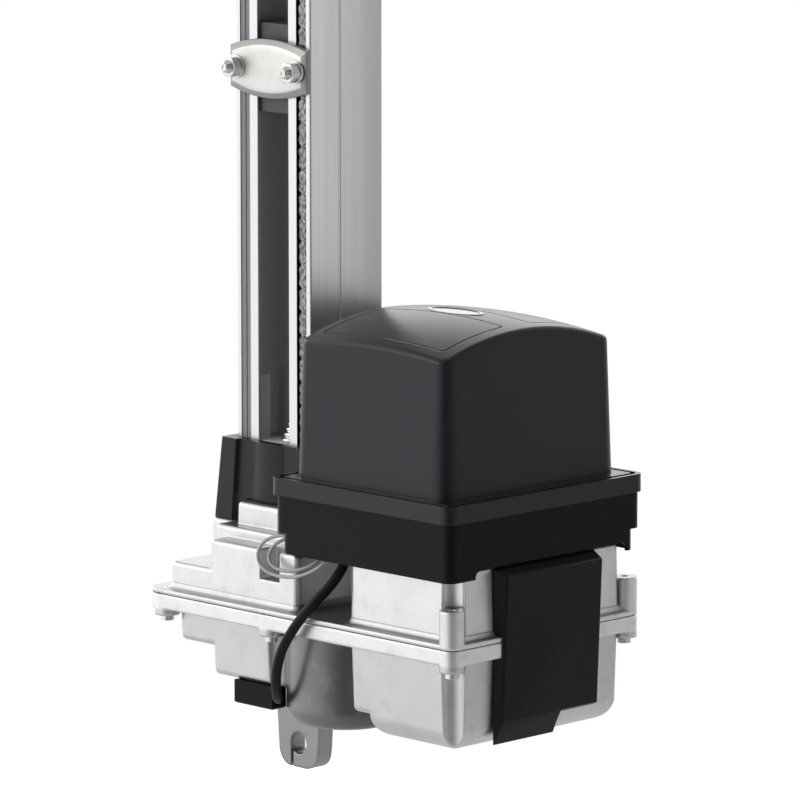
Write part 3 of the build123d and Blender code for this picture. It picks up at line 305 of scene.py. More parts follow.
@dataclass(frozen=True)
class CastFinish(Finish):
    """Blasted die-cast aluminium: pale, with flow marks, a pitted grain and painted shade on the faces that
    look up.
    """

    flow_size: float = 12 * MM
    flow_step: Step = (0.62, 0.25)
    flow_share: float = 0.22
    flow_tone: Colour = (0.36, 0.345, 0.33)
    # Painted shade on the faces that look up: the step on the normal's height, its share and its colour.
    up_shade_step: Step = (0.75, 0.4)
    up_shade_share: float = 0.75
    up_shade_tone: Colour = (0.27, 0.265, 0.265)

    def tint(self, shader: Shader, point: Any, tone: Any) -> Any:
        """Darken the tone in small flow marks, and paint shade on the faces that look up.

        Args:
            shader: The material's shader.
            point: The object's own coordinates.
            tone: The colour so far.

        Returns:
            The new colour's socket.
        """
        marks = shader.noise(point, self.flow_size, detail=5.0)
        marked = shader.mix(marks.above(*self.flow_step) * self.flow_share, tone, self.flow_tone)
        # Painted shade: faces that look up are darkened towards a grey.
        _, _, up = shader.axes(shader.node("ShaderNodeTexCoord").outputs["Normal"])
        return shader.mix(up.above(*self.up_shade_step) * self.up_shade_share, marked, self.up_shade_tone)


@dataclass(frozen=True)
class PlateFinish(CastFinish):
    """The carriage plate's ground face, with a duller bevel and sides behind it."""

    face_depth: float = 0.5 * MM
    face_soft: float = 0.4 * MM
    bevel_share: float = 0.85
    bevel_tone: Colour = (0.26, 0.25, 0.24)

    def tint(self, shader: Shader, point: Any, tone: Any) -> Any:
        """Dull what lies behind the front face.

        Args:
            shader: The material's shader.
            point: The object's own coordinates.
            tone: The colour so far.

        Returns:
            The new colour's socket.
        """
        _, y, _ = shader.axes(point)
        face_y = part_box("carriage_plate")[0].y
        behind = y.above(face_y + self.face_depth, self.face_soft)
        dulled = shader.mix(behind * self.bevel_share, tone, self.bevel_tone)
        return super().tint(shader, point, dulled)


@dataclass(frozen=True)
class LowerCastFinish(CastFinish):
    """The lower casting: painted shade on its round bulge and hanging lug, and painted light on its flange.

    Each step is where a tone begins or ends. The bulge's tone grows with the way across it.
    """

    # Painted shade on the round bulge: its reach, its share across it and its colour.
    bulge_left: Step = (34 * MM, 10 * MM)
    bulge_right: Step = (114 * MM, 6 * MM)
    bulge_front: Step = (-71 * MM, 3 * MM)
    bulge_back: Step = (12 * MM, 10 * MM)
    bulge_span: tuple[float, float] = (34 * MM, 104 * MM)
    bulge_least: float = 0.60
    bulge_growth: float = 0.40
    bulge_shade_tone: Colour = (0.12, 0.117, 0.117)
    # Painted shade on the hanging lug: where it ends and its colour.
    lug_top: Step = (30 * MM, 16 * MM)
    lug_right: Step = (34 * MM, 10 * MM)
    lug_shade_tone: Colour = (0.29, 0.283, 0.287)
    # Painted light on the flange: its foot and its colour.
    flange_foot: Step = (95.5 * MM, 2 * MM)
    flange_light_tone: Colour = (0.74, 0.735, 0.735)

    def tint(self, shader: Shader, point: Any, tone: Any) -> Any:
        """Lay the painted shade and painted light by place, then the flow marks and the painted shade on
        faces that look up.

        Args:
            shader: The material's shader.
            point: The object's own coordinates.
            tone: The colour so far.

        Returns:
            The new colour's socket.
        """
        x, y, z = shader.axes(point)
        # Painted shade on the round bulge, deeper across it to the right.
        between = x.above(*self.bulge_left) * x.below(*self.bulge_right)
        left, right = self.bulge_span
        across = (x - left) / (right - left)
        along = y.above(*self.bulge_front) * y.below(*self.bulge_back)
        share = between * along * (across * self.bulge_growth + self.bulge_least)
        bulge = shader.mix(share, tone, self.bulge_shade_tone)
        # Painted shade on the hanging lug.
        lug = shader.mix(z.below(*self.lug_top) * x.below(*self.lug_right), bulge, self.lug_shade_tone)
        # Painted light on the flange, above its foot.
        flange = shader.mix(z.above(*self.flange_foot), lug, self.flange_light_tone)
        return super().tint(shader, point, flange)


@dataclass(frozen=True)
class RailFinish(Finish):
    """Extruded aluminium: lines along the rail, with painted shade on the sides towards the back, in a rear
    band and along a groove line, on the front lips and in the slots and the channel.

    The slots and the channel are masked by their half widths, from the lips back to their floors.
    """

    front: float = -29 * MM
    back: float = 40.5 * MM
    lines_size: float = 2.5 * MM
    lines_step: Step = (0.55, 0.3)
    lines_share: float = 0.10
    lines_tone: Colour = (0.45, 0.45, 0.46)
    # Painted shade on the sides, growing towards the back.
    fade_shade_share: float = 0.45
    fade_shade_tone: Colour = (0.40, 0.40, 0.41)
    # Painted shade in a band on the rear of the sides.
    band_shade_front: Step = (21 * MM, 12 * MM)
    band_shade_share: float = 0.22
    band_shade_tone: Colour = (0.38, 0.38, 0.40)
    # Painted shade along a fine groove line on the sides: its place, half width, share and colour.
    groove_y: float = -2.5 * MM
    groove_half: Step = (0.25 * MM, 0.4 * MM)
    groove_shade_share: float = 0.45
    groove_shade_tone: Colour = (0.18, 0.18, 0.19)
    # Painted shade on the front lips: where they end and their lower tone.
    lip_back: Step = (-27.8 * MM, 1.0 * MM)
    lip_shade_tone: Colour = (0.65, 0.655, 0.665)
    # Painted shade in the slots and the channel: their reach back, half widths and colours.
    recess_front: Step = (-28.5 * MM, 0.6 * MM)
    recess_floor: Step = (-6.8 * MM, 0.6 * MM)
    slot_half: Step = (32.5 * MM, 0.4 * MM)
    slot_shade_tone: Colour = (0.035, 0.035, 0.038)
    channel_half: Step = (21.4 * MM, 0.4 * MM)
    channel_shade_tone: Colour = (0.47, 0.47, 0.49)

    def tint(self, shader: Shader, point: Any, tone: Any) -> Any:
        """Lay the lines, then painted shade: the sides' fade, band and groove, then the front lips, the
        slots and the channel.

        Args:
            shader: The material's shader.
            point: The object's own coordinates.
            tone: The colour so far.

        Returns:
            The new colour's socket.
        """
        x, y, _ = shader.axes(point)
        lines = shader.noise(point, self.lines_size, detail=3.0, grain=Grain.ALONG_RAIL)
        lined = shader.mix(lines.above(*self.lines_step) * self.lines_share, tone, self.lines_tone)
        # Painted shade: the sides darken towards the back.
        depth = (y - self.front) / (self.back - self.front)
        faded = shader.mix(depth * self.fade_shade_share, lined, self.fade_shade_tone)
        # Painted shade in a band on the rear of the sides.
        rear = y.above(*self.band_shade_front) * self.band_shade_share
        banded = shader.mix(rear, faded, self.band_shade_tone)
        # Painted shade along the fine groove line.
        groove = (y - self.groove_y).size().below(*self.groove_half) * self.groove_shade_share
        grooved = shader.mix(groove, banded, self.groove_shade_tone)
        # Painted shade: the front lips get a lower tone than the sides under the key light.
        lipped = shader.mix(y.below(*self.lip_back), grooved, self.lip_shade_tone)
        # Painted shade in the chain slots and in the channel, back to their floors.
        recess = y.above(*self.recess_front) * y.below(*self.recess_floor)
        across = x.size()
        slots = across.below(*self.slot_half) * recess
        channel = across.below(*self.channel_half) * recess
        return shader.mix(channel, shader.mix(slots, lipped, self.slot_shade_tone), self.channel_shade_tone)


@dataclass(frozen=True)
class MouldedFinish(Finish):
    """Satin moulding with a fine even grain in two sizes."""

    fine_share: float = 0.7
    slow_share: float = 0.5
    slow_ratio: float = 12

    def relief(self, shader: Shader, point: Any) -> Value:
        """Fine pits over a slower ripple.

        Args:
            shader: The material's shader.
            point: The object's own coordinates.

        Returns:
            The height pattern.
        """
        fine = shader.noise(point, self.grain_size, detail=2.0)
        slow = shader.noise(point, self.grain_size * self.slow_ratio, detail=2.0)
        return fine * self.fine_share + slow * self.slow_share


@dataclass(frozen=True)
class GreasedFinish(Finish):
    """Oiled steel with dark smears."""

    oil_size: float = 3 * MM
    oil_step: Step = (0.5, 0.25)
    oil_share: float = 0.7
    oil_tone: Colour = (0.05, 0.048, 0.045)

    def tint(self, shader: Shader, point: Any, tone: Any) -> Any:
        """Lay dark oil in patches."""
        oil = shader.noise(point, self.oil_size, detail=4.0)
        return shader.mix(oil.above(*self.oil_step) * self.oil_share, tone, self.oil_tone)


CASTING: dict[str, float] = dict(
    metallic=0.90, roughness=0.34, mottle=0.04, mottle_size=20 * MM, grain_size=0.9 * MM,
    grain_height=0.05 * MM, edge=2.4 * MM)
CAST = CastFinish("cast_aluminium", (0.68, 0.675, 0.675), **CASTING)
LOWER_CAST = LowerCastFinish("lower_cast_aluminium", (0.58, 0.575, 0.575), **CASTING)
# The rail's tone is set high for its sides, and its front lips and recesses are toned down as painted shade.
RAIL = RailFinish(
    "rail_aluminium", (0.92, 0.925, 0.93), metallic=0.92, roughness=0.31, mottle=0.03, mottle_size=4 * MM,
    roughness_play=0.06, grain_size=0.4 * MM, grain_height=0.01 * MM, grain=Grain.ALONG_RAIL, edge=0.4 * MM)
PLATE = PlateFinish(
    "carriage_steel", (0.62, 0.615, 0.60), metallic=0.80, roughness=0.42, mottle=0.04, mottle_size=10 * MM,
    roughness_play=0.10, grain_size=0.7 * MM, grain_height=0.04 * MM, edge=0.8 * MM)
SHEET = Finish(
    "zinc_sheet", (0.62, 0.62, 0.61), metallic=0.95, roughness=0.34, mottle=0.07, mottle_size=12 * MM,
    roughness_play=0.14, grain_size=0.5 * MM, grain_height=0.02 * MM)
ZINC = Finish(
    "zinc_screws", (0.66, 0.66, 0.64), metallic=1.0, roughness=0.24, mottle_size=4 * MM,
    roughness_play=0.12, grain_size=0.3 * MM, grain_height=0.01 * MM, edge=0.3 * MM)
BRIGHT = Finish(
    "polished_buffer", (0.86, 0.86, 0.87), metallic=1.0, roughness=0.14, mottle=0.03, mottle_size=10 * MM,
    roughness_play=0.05, grain_height=0.01 * MM, edge=0.3 * MM)
CHAIN = GreasedFinish(
    "oiled_chain", (0.30, 0.30, 0.30), metallic=1.0, roughness=0.34, mottle=0.10, mottle_size=4 * MM,
    roughness_play=0.15, grain_size=0.3 * MM, grain_height=0.01 * MM, edge=0.2 * MM)
GEAR = Finish(
    "machined_steel", (0.56, 0.56, 0.56), metallic=1.0, roughness=0.28, mottle=0.05, mottle_size=6 * MM,
    roughness_play=0.10, grain_size=0.4 * MM, grain_height=0.01 * MM, edge=0.3 * MM)
SOCKET = MouldedFinish(
    "socket_moulding", (0.012, 0.012, 0.0155), roughness=0.38, mottle=0.10, grain_size=0.7 * MM,
    grain_height=0.04 * MM, edge=1.0 * MM, specular=0.25)
COVER = MouldedFinish(
    "cover_moulding", (0.0115, 0.0108, 0.0175), roughness=0.30, mottle_size=50 * MM, roughness_play=0.05,
    grain_size=0.5 * MM, edge=1.0 * MM, specular=0.30)
TRAY = MouldedFinish(
    "tray_moulding", (0.0060, 0.0060, 0.0068), roughness=0.36, mottle_size=50 * MM, roughness_play=0.05,
    grain_height=0.04 * MM, edge=0.8 * MM, specular=0.10)
SIDE_BOX = MouldedFinish(
    "side_box_moulding", (0.0070, 0.0070, 0.0074), roughness=0.34, mottle_size=50 * MM,
    roughness_play=0.05, grain_size=0.5 * MM, edge=0.9 * MM, specular=0.15)
BADGE = MouldedFinish(
    "badge_moulding", (0.03, 0.03, 0.033), roughness=0.22, mottle=0.05, mottle_size=20 * MM,
    roughness_play=0.04, grain_size=0.8 * MM, grain_height=0.01 * MM, edge=0.3 * MM, coat=0.4)
GUARD = Finish(
    "guard_strip", (0.20, 0.20, 0.215), roughness=0.35, mottle=0.10, mottle_size=10 * MM,
    grain_height=0.02 * MM, grain=Grain.ALONG_RAIL, edge=0.2 * MM)
LINER = MouldedFinish(
    "liner_moulding", (0.55, 0.55, 0.56), roughness=0.4, mottle_size=20 * MM, edge=0.4 * MM)
RUBBER = MouldedFinish(
    "cable_sheath", (0.006, 0.006, 0.0065), roughness=0.42, mottle=0.10, mottle_size=20 * MM,
    grain_size=0.8 * MM, edge=0.2 * MM, specular=0.14)
WIRE = Finish(
    "wire_sleeve", (0.34, 0.34, 0.35), roughness=0.28, mottle=0.08, mottle_size=10 * MM,
    roughness_play=0.06, grain_size=0.8 * MM, grain_height=0.01 * MM, edge=0.1 * MM, coat=0.5)
NYLON = MouldedFinish(
    "slider_nylon", (0.055, 0.055, 0.058), roughness=0.5, mottle=0.08, mottle_size=20 * MM, edge=0.5 * MM)
RELAY = MouldedFinish(
    "relay_moulding", (0.02, 0.02, 0.02), roughness=0.4, mottle=0.08, mottle_size=20 * MM, edge=0.5 * MM)
FIBRE = Finish(
    "gasket_fibre", (0.03, 0.03, 0.03), roughness=0.8, mottle=0.2, mottle_size=4 * MM,
    roughness_play=0.1, grain_height=0.05 * MM, edge=0.1 * MM)
BRONZE = Finish(
    "wheel_bronze", (0.60, 0.36, 0.15), metallic=1.0, roughness=0.32, mottle=0.08, mottle_size=8 * MM,
    roughness_play=0.1, edge=0.3 * MM)
PAINT = MouldedFinish("motor_paint", (0.06, 0.065, 0.075), roughness=0.35, mottle=0.08)
TAPE = Finish(
    "winding_tape", (0.55, 0.36, 0.05), roughness=0.3, mottle=0.15, mottle_size=6 * MM,
    roughness_play=0.1, grain_size=2 * MM, grain_height=0.08 * MM, grain=Grain.ALONG_RAIL,
    edge=0.5 * MM, coat=0.5)
BOARD = Finish(
    "board_lacquer", (0.02, 0.14, 0.05), roughness=0.25, mottle=0.2, mottle_size=10 * MM,
    roughness_play=0.1, grain_size=1 * MM, edge=0.2 * MM, coat=0.6)
TERMINAL = MouldedFinish(
    "terminal_moulding", (0.03, 0.28, 0.08), roughness=0.4, mottle_size=10 * MM, edge=0.4 * MM)
SLEEVE = Finish(
    "capacitor_sleeve", (0.02, 0.025, 0.10), roughness=0.25, mottle_size=20 * MM, edge=0.5 * MM, coat=0.5)

NODE_FINISHES = {
    CAST: ("upper_case",),
    LOWER_CAST: ("lower_case",),
    RAIL: ("rail",),
    SHEET: ("end_bracket", "idler_fork", "transformer_clamp"),
    ZINC: ("case_screws", "board_screws", "cover_screws", "end_screws", "tension_screw", "tension_nut",
           "idler_axle"),
    GEAR: ("drive_sprocket", "idler_sprocket", "drive_shaft", "worm_shaft", "shaft_bearings",
           "worm_bearings"),
    SOCKET: ("rail_socket",),
    COVER: ("cover",),
    TRAY: ("tray", "sensor_housing"),
    GUARD: ("chain_guard",),
    LINER: ("buffer_bracket",),
    RUBBER: ("cable_grommet",),
    NYLON: ("carriage_slider",),
    RELAY: ("board_relays",),
    FIBRE: ("case_gasket",),
    BRONZE: ("worm_wheel",),
    PAINT: ("motor",),
    TAPE: ("transformer",),
    BOARD: ("control_board",),
    TERMINAL: ("board_terminals",),
    SLEEVE: ("board_capacitor",),
}


def lattice(rows: int, columns: int, close_rows: bool, close_columns: bool) -> list[list[int]]:
    """The four-sided faces of a grid of points stored row by row.

    Args:
        rows: How many rows of points.
        columns: How many points in a row.
        close_rows: Whether the last row joins the first.
        close_columns: Whether each row's last point joins its first.

    Returns:
        Four indices for each face.
    """
    row = np.arange(rows if close_rows else rows - 1)[:, None]
    column = np.arange(columns if close_columns else columns - 1)[None, :]
    next_row = (row + 1) % rows
    next_column = (column + 1) % columns
    corners = (row * columns + column, row * columns + next_column,
               next_row * columns + next_column, next_row * columns + column)
    return np.stack(np.broadcast_arrays(*corners), axis=-1).reshape(-1, 4).tolist()


def capped(rings: Sequence[np.ndarray]) -> Shape:
    """A stack of closed outlines, each joined to the next, with one face on each end.

    Args:
        rings: The outlines' points, as many in each.

    Returns:
        Points and faces.
    """
    count = len(rings[0])
    last = (len(rings) - 1) * count
    sides = lattice(len(rings), count, False, True)
    ends = [list(range(count)), list(range(last + count - 1, last - 1, -1))]
    return np.concatenate(rings), sides + ends


def joined(shapes: Sequence[Shape]) -> Shape:
    """Several shapes as one, each one's indices raised by the count of the points before it.

    Args:
        shapes: Points and faces of each.

    Returns:
        All points and faces.
    """
    faces: list[list[int]] = []
    before = 0
    for points, own in shapes:
        faces += [[index + before for index in face] for face in own]
        before += len(points)
    return np.concatenate([points for points, _ in shapes]), faces


def turned(profile: np.ndarray, columns: int, origin: Point, along: Point) -> np.ndarray:
    """Points of a profile turned about an axis.

    At angle a each point is its radius times (cos a, sin a) across the axis, plus its height along it.

    Args:
        profile: Rows of radius and height; a radius may also hold one value for each column.
        columns: How many angles.
        origin: Where the height is zero.
        along: The axis, a unit vector.

    Returns:
        Points row by row, one row for each profile point.
    """
    axis = np.array(along, float)
    side = np.cross(axis, (0.0, 0.0, 1.0) if abs(axis[2]) < NEARLY_UPRIGHT else (1.0, 0.0, 0.0))
    side = side / np.linalg.norm(side)
    other = np.cross(axis, side)
    angle = np.linspace(0, 2 * math.pi, columns, endpoint=False)
    ring = np.cos(angle)[:, None] * side + np.sin(angle)[:, None] * other
    radius, height = profile[..., 0], profile[..., 1]
    radius = np.broadcast_to(radius.reshape(len(profile), -1), (len(profile), columns))
    height = np.broadcast_to(height.reshape(len(profile), -1), (len(profile), columns))
    points = radius[..., None] * ring[None] + height[..., None] * axis
    return (points + np.array(origin)).reshape(-1, 3)


class Workshop:
    """Turns arrays into pieces, and gives each finish one material."""

    def __init__(self) -> None:
        """Start with no materials."""
        self.materials: dict[Finish, bpy.types.Material] = {}

    def material(self, finish: Finish) -> bpy.types.Material:
        """The finish's material, built on first use.

        Args:
            finish: The surface.

        Returns:
            Its one material.
        """
        if finish not in self.materials:
            self.materials[finish] = finish.build()
        return self.materials[finish]

    def dress(self, node: str, finish: Finish) -> None:
        """Give a solid of the frame its finish.

        Args:
            node: The solid's name.
            finish: Its finish.
        """
        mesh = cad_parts[node].data
        mesh.materials.clear()
        mesh.materials.append(self.material(finish))
        log.info("%s dressed in %s", node, finish.name)

    def piece(self, name: str, points: np.ndarray, faces: Sequence[Sequence[int]], finish: Finish,
              body: Body, stands_for: Sequence[str] = (), crease: float = 35.0) -> Any:
        """Make a piece from points and faces.

        Args:
            name: The piece's name.
            points: One line of three numbers for each point.
            faces: Indices of each face's points.
            finish: The surface.
            body: What the piece moves with.
            stands_for: The solids that the piece replaces.
            crease: Edges sharper than this many degrees stay sharp.

        Returns:
            The new object.
        """
        mesh = bpy.data.meshes.new(name)
        mesh.from_pydata(points.tolist(), [], faces)
        work = bmesh.new()
        work.from_mesh(mesh)
        bmesh.ops.remove_doubles(work, verts=work.verts, dist=MERGE_DISTANCE)
        bmesh.ops.recalc_face_normals(work, faces=work.faces)
        work.to_mesh(mesh)
        work.free()
        mesh.shade_smooth()
        mesh.set_sharp_from_angle(angle=math.radians(crease))
        made = bpy.data.objects.new(name, mesh)
        bpy.context.scene.collection.objects.link(made)
        mesh.materials.append(self.material(finish))
        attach(made, body.value)
        if stands_for:
            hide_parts(*stands_for)
        log.info("%s made with %d faces", name, len(mesh.polygons))
        return made


@dataclass(frozen=True)
class Lamp:
    """A soft square lamp: its name, where it stands, its side in metres and its power in watts."""

    name: str
    place: Point
    side: float
    watts: float

    def build(self, target: Point) -> None:
        """Stand the lamp up.

        Args:
            target: The point that it is aimed at.
        """
        light = bpy.data.lights.new(self.name, "AREA")
        light.size = self.side
        light.energy = self.watts
        made = bpy.data.objects.new(self.name, light)
        bpy.context.scene.collection.objects.link(made)
        aim = (Vector(target) - Vector(self.place)).to_track_quat("-Z", "Y").to_matrix().to_4x4()
        made.matrix_world = Matrix.Translation(self.place) @ aim


@dataclass
class Studio:
    """The pale floor, the soft light and the camera at the photograph's angle.

    The lamps are a key from the left front, one from above and a weak fill from the right. The walls
    stand for soft boxes in reflections: left, right, rear and overhead as the camera at rest sees them,
    though they are fixed in the room. A step on them is on the cosine of the angle from their middle.
    """

    azimuth: float = 45.0
    pitch: float = 9.3
    focal_pixels: float = 5800.0
    picture: float = 800.0
    sensor: float = 36.0
    anchor: Point = (0.219, -0.079, 0.106)
    anchor_pixel: tuple[float, float] = (452.7, 653.2)
    distance: float = 3.76
    target: Point = (0.07, 0.0, 0.25)
    lamps: tuple[Lamp, ...] = (
        Lamp("key_lamp", (-1.3, -2.4, 1.3), 1.5, 16.0),
        Lamp("top_lamp", (0.2, -0.2, 2.6), 1.4, 3.0),
        Lamp("fill_lamp", (2.6, 0.9, 0.9), 1.2, 1.5))
    backdrop: float = 1.0
    room_level: float = 0.16
    side_wall: Step = (0.55, 0.8)
    left_level: float = 1.15
    right_level: float = 0.38
    rear_wall: Step = (0.55, 0.7)
    rear_foot: Step = (0.06, 0.16)
    rear_head: Step = (0.66, 0.60)
    rear_level: float = 1.9
    rear_foot_level: float = 0.40
    overhead: Step = (0.75, 0.4)
    overhead_level: float = 0.15
    floor_z: float = -0.30
    floor_radius: float = 1.3
    floor_sides: int = 96
    paper: Colour = (0.8, 0.8, 0.8)
    paper_glow: float = 0.95
    paper_mirrored: float = 0.10

    def camera(self) -> None:
        """Place the camera so that the case's near corner falls on its pixel."""
        turn, tilt = math.radians(self.azimuth), math.radians(self.pitch)
        back = Vector((math.sin(turn) * math.cos(tilt), -math.cos(turn) * math.cos(tilt), math.sin(tilt)))
        right = Vector((math.cos(turn), math.sin(turn), 0.0))
        up = right.cross(-back)
        middle = self.picture / 2
        across = (self.anchor_pixel[0] - middle) / self.focal_pixels
        rise = (middle - self.anchor_pixel[1]) / self.focal_pixels
        ray = -back + across * right + rise * up
        eye = Vector(self.anchor) - self.distance * ray
        lens = bpy.data.cameras.new("camera")
        lens.sensor_fit = "HORIZONTAL"
        lens.sensor_width = self.sensor
        lens.lens = self.focal_pixels / self.picture * self.sensor
        lens.clip_end = 50.0
        made = bpy.data.objects.new("camera", lens)
        bpy.context.scene.collection.objects.link(made)
        rotation = Matrix((right, up, back)).transposed().to_4x4()
        made.matrix_world = Matrix.Translation(eye) @ rotation
        bpy.context.scene.camera = made

    def surroundings(self) -> None:
        """White to the camera; in reflections a bright wall at the left, a dim one at the right.

        The rear wall is bright above the horizon and dim below it, so that the sides stay unclipped.
        """
        world = bpy.data.worlds.new("studio")
        bpy.context.scene.world = world
        shader = Shader(world)
        direction = shader.node("ShaderNodeTexCoord").outputs["Generated"]
        diagonal = math.sqrt(0.5)
        x, y, height = shader.axes(direction)
        left = (x + y) * -diagonal
        right = (x + y) * diagonal
        behind = (y - x) * diagonal
        level_up = height.above(*self.rear_foot)
        rear = (level_up * height.below(*self.rear_head) * self.rear_level
                + (1 - level_up) * self.rear_foot_level)
        strength = (left.above(*self.side_wall) * self.left_level
                    + right.above(*self.side_wall) * self.right_level
                    + behind.above(*self.rear_wall) * rear
                    + height.above(*self.overhead) * self.overhead_level + self.room_level)
        paths = shader.node("ShaderNodeLightPath")
        seen = Value(shader, paths.outputs["Is Camera Ray"])
        level = seen * self.backdrop + (1 - seen) * strength
        light = shader.node("ShaderNodeBackground", {}, {"Color": WHITE, "Strength": level})
        shader.node("ShaderNodeOutputWorld", {}, {"Surface": light.outputs[0]})

    def floor(self) -> None:
        """A pale round floor well below the hanging lug, white to the camera apart from shadows."""
        angle = np.linspace(0, 2 * math.pi, self.floor_sides, endpoint=False)
        rim = np.stack([self.floor_radius * np.cos(angle), self.floor_radius * np.sin(angle),
                        np.full_like(angle, self.floor_z)], axis=1)
        mesh = bpy.data.meshes.new("floor")
        mesh.from_pydata(rim.tolist(), [], [list(range(len(angle)))])
        made = bpy.data.objects.new("floor", mesh)
        bpy.context.scene.collection.objects.link(made)
        material = bpy.data.materials.new("floor_paper")
        shader = Shader(material)
        paths = shader.node("ShaderNodeLightPath")
        seen = Value(shader, paths.outputs["Is Camera Ray"])
        mirrored = Value(shader, paths.outputs["Is Glossy Ray"])
        clear = Value(shader, paths.outputs["Is Transmission Ray"])
        paper = shader.node("ShaderNodeBsdfDiffuse", {}, {"Color": opaque(self.paper)})
        strength = seen * self.paper_glow + (mirrored + clear) * self.paper_mirrored
        glow = shader.node("ShaderNodeEmission", {}, {"Color": WHITE, "Strength": strength})
        both = shader.node("ShaderNodeAddShader", {}, {0: paper.outputs[0], 1: glow.outputs[0]})
        shader.node("ShaderNodeOutputMaterial", {}, {"Surface": both.outputs[0]})
        mesh.materials.append(material)
        made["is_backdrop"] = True

    def build(self) -> None:
        """Set up the whole studio."""
        bpy.context.scene.view_settings.view_transform = "Standard"
        self.camera()
        for lamp in self.lamps:
            lamp.build(self.target)
        self.surroundings()
        self.floor()
        log.info("studio set")


@dataclass
class ChainLoop:
    """The roller chain: figure-eight plates, rollers and pins round both sprockets."""

    pitch: float = 8.0 * MM
    teeth: int = 21
    straight_links: int = 61
    drive_z: float = 116.0 * MM
    chain_y: float = -24.5 * MM
    eye_radius: float = 3.5 * MM
    waist: float = 2.5 * MM
    plate: float = 0.8 * MM
    inner_width: float = 3.0 * MM
    gap: float = 0.06 * MM
    roller_radius: float = 2.5 * MM
    pin_radius: float = 1.3 * MM
    pin_proud: float = 0.25 * MM
    eye_points: int = 9
    waist_points: int = 7
    round_sides: int = 12

    def joints(self) -> np.ndarray:
        """The loop's joints in X and Z: half a turn round each wheel and two straight strands.

        Returns:
            One line of X and Z for each joint, in order round the loop.
        """
        radius = self.pitch / 2 / math.sin(math.pi / self.teeth)
        idler_z = self.drive_z + self.pitch * self.straight_links + self.pitch / 2
        wrap = self.teeth // 2
        step = 2 * math.pi / self.teeth
        below = -np.arange(wrap + 1) * step
        bottom = np.stack([radius * np.cos(below), self.drive_z + radius * np.sin(below)], axis=1)
        rise = self.drive_z + self.pitch / 2 + self.pitch * np.arange(self.straight_links + 1)
        left = np.stack([np.full_like(rise, -radius), rise], axis=1)
        above = math.pi - np.arange(1, wrap + 1) * step
        top = np.stack([radius * np.cos(above), idler_z + radius * np.sin(above)], axis=1)
        fall = idler_z - self.pitch / 2 - self.pitch * np.arange(self.straight_links)
        right = np.stack([np.full_like(fall, radius), fall], axis=1)
        return np.concatenate([bottom, left, top, right])

    def plate_outline(self) -> np.ndarray:
        """A plate's outline: round ends, and between them a half height that dips by a cosine to the waist.

        Returns:
            Points along and across the link, about its middle.
        """
        half = self.pitch / 2
        turn = np.linspace(-math.pi / 2, math.pi / 2, self.eye_points)
        end = np.stack([half + self.eye_radius * np.cos(turn), self.eye_radius * np.sin(turn)], axis=1)
        along = np.linspace(half, -half, self.waist_points)[1:-1]
        height = self.waist + (self.eye_radius - self.waist) * (0.5 - 0.5 * np.cos(math.pi * along / half))
        top = np.stack([along, height], axis=1)
        return np.concatenate([end, top, -end, -top])

    def prism(self, outline: np.ndarray, low: float, high: float) -> Shape:
        """An outline carried across the chain between two offsets.

        Args:
            outline: Points along and across the link.
            low: The lower offset along Y.
            high: The higher offset along Y.

        Returns:
            Points as along, offset and across, and the faces.
        """
        count = len(outline)
        return capped([np.stack([outline[:, 0], np.full(count, y), outline[:, 1]], axis=1)
                       for y in (low, high)])

    def spread(self, part: Shape, middles: np.ndarray, turns: np.ndarray) -> Shape:
        """Copy a part to every place.

        Args:
            part: Points and faces about the origin.
            middles: X and Z of each place.
            turns: The angle of each place about Y.

        Returns:
            All points and faces.
        """
        points, faces = part
        cos, sin = np.cos(turns)[:, None], np.sin(turns)[:, None]
        x = points[:, 0] * cos - points[:, 2] * sin + middles[:, :1]
        z = points[:, 0] * sin + points[:, 2] * cos + middles[:, 1:]
        y = np.broadcast_to(points[:, 1] + self.chain_y, x.shape)
        placed = np.stack([x, y, z], axis=-1)
        return joined([(copy, faces) for copy in placed])

    def build(self, shop: Workshop) -> None:
        """Make the plates, rollers and pins as one piece.

        Args:
            shop: Where the piece is made.
        """
        joints = self.joints()
        ahead = np.roll(joints, -1, axis=0)
        middles = (joints + ahead) / 2
        turns = np.arctan2(ahead[:, 1] - joints[:, 1], ahead[:, 0] - joints[:, 0])
        outline = self.plate_outline()
        inner = self.inner_width / 2
        outer = inner + self.plate + self.gap
        circle = np.linspace(0, 2 * math.pi, self.round_sides, endpoint=False)
        ring = np.stack([np.cos(circle), np.sin(circle)], axis=1)
        reach = outer + self.plate + self.pin_proud
        even, odd = slice(0, None, 2), slice(1, None, 2)
        parts = (
            (self.prism(outline, inner, inner + self.plate), middles[even], turns[even]),
            (self.prism(outline, -inner - self.plate, -inner), middles[even], turns[even]),
            (self.prism(outline, outer, outer + self.plate), middles[odd], turns[odd]),
            (self.prism(outline, -outer - self.plate, -outer), middles[odd], turns[odd]),
            (self.prism(ring * self.roller_radius, -inner + self.gap, inner - self.gap), joints, turns),
            (self.prism(ring * self.pin_radius, -reach, reach), joints, turns),
        )
        points, faces = joined([self.spread(*part) for part in parts])
        shop.piece("chain_links", points, faces, CHAIN, Body.CASE, ("chain",), crease=30.0)


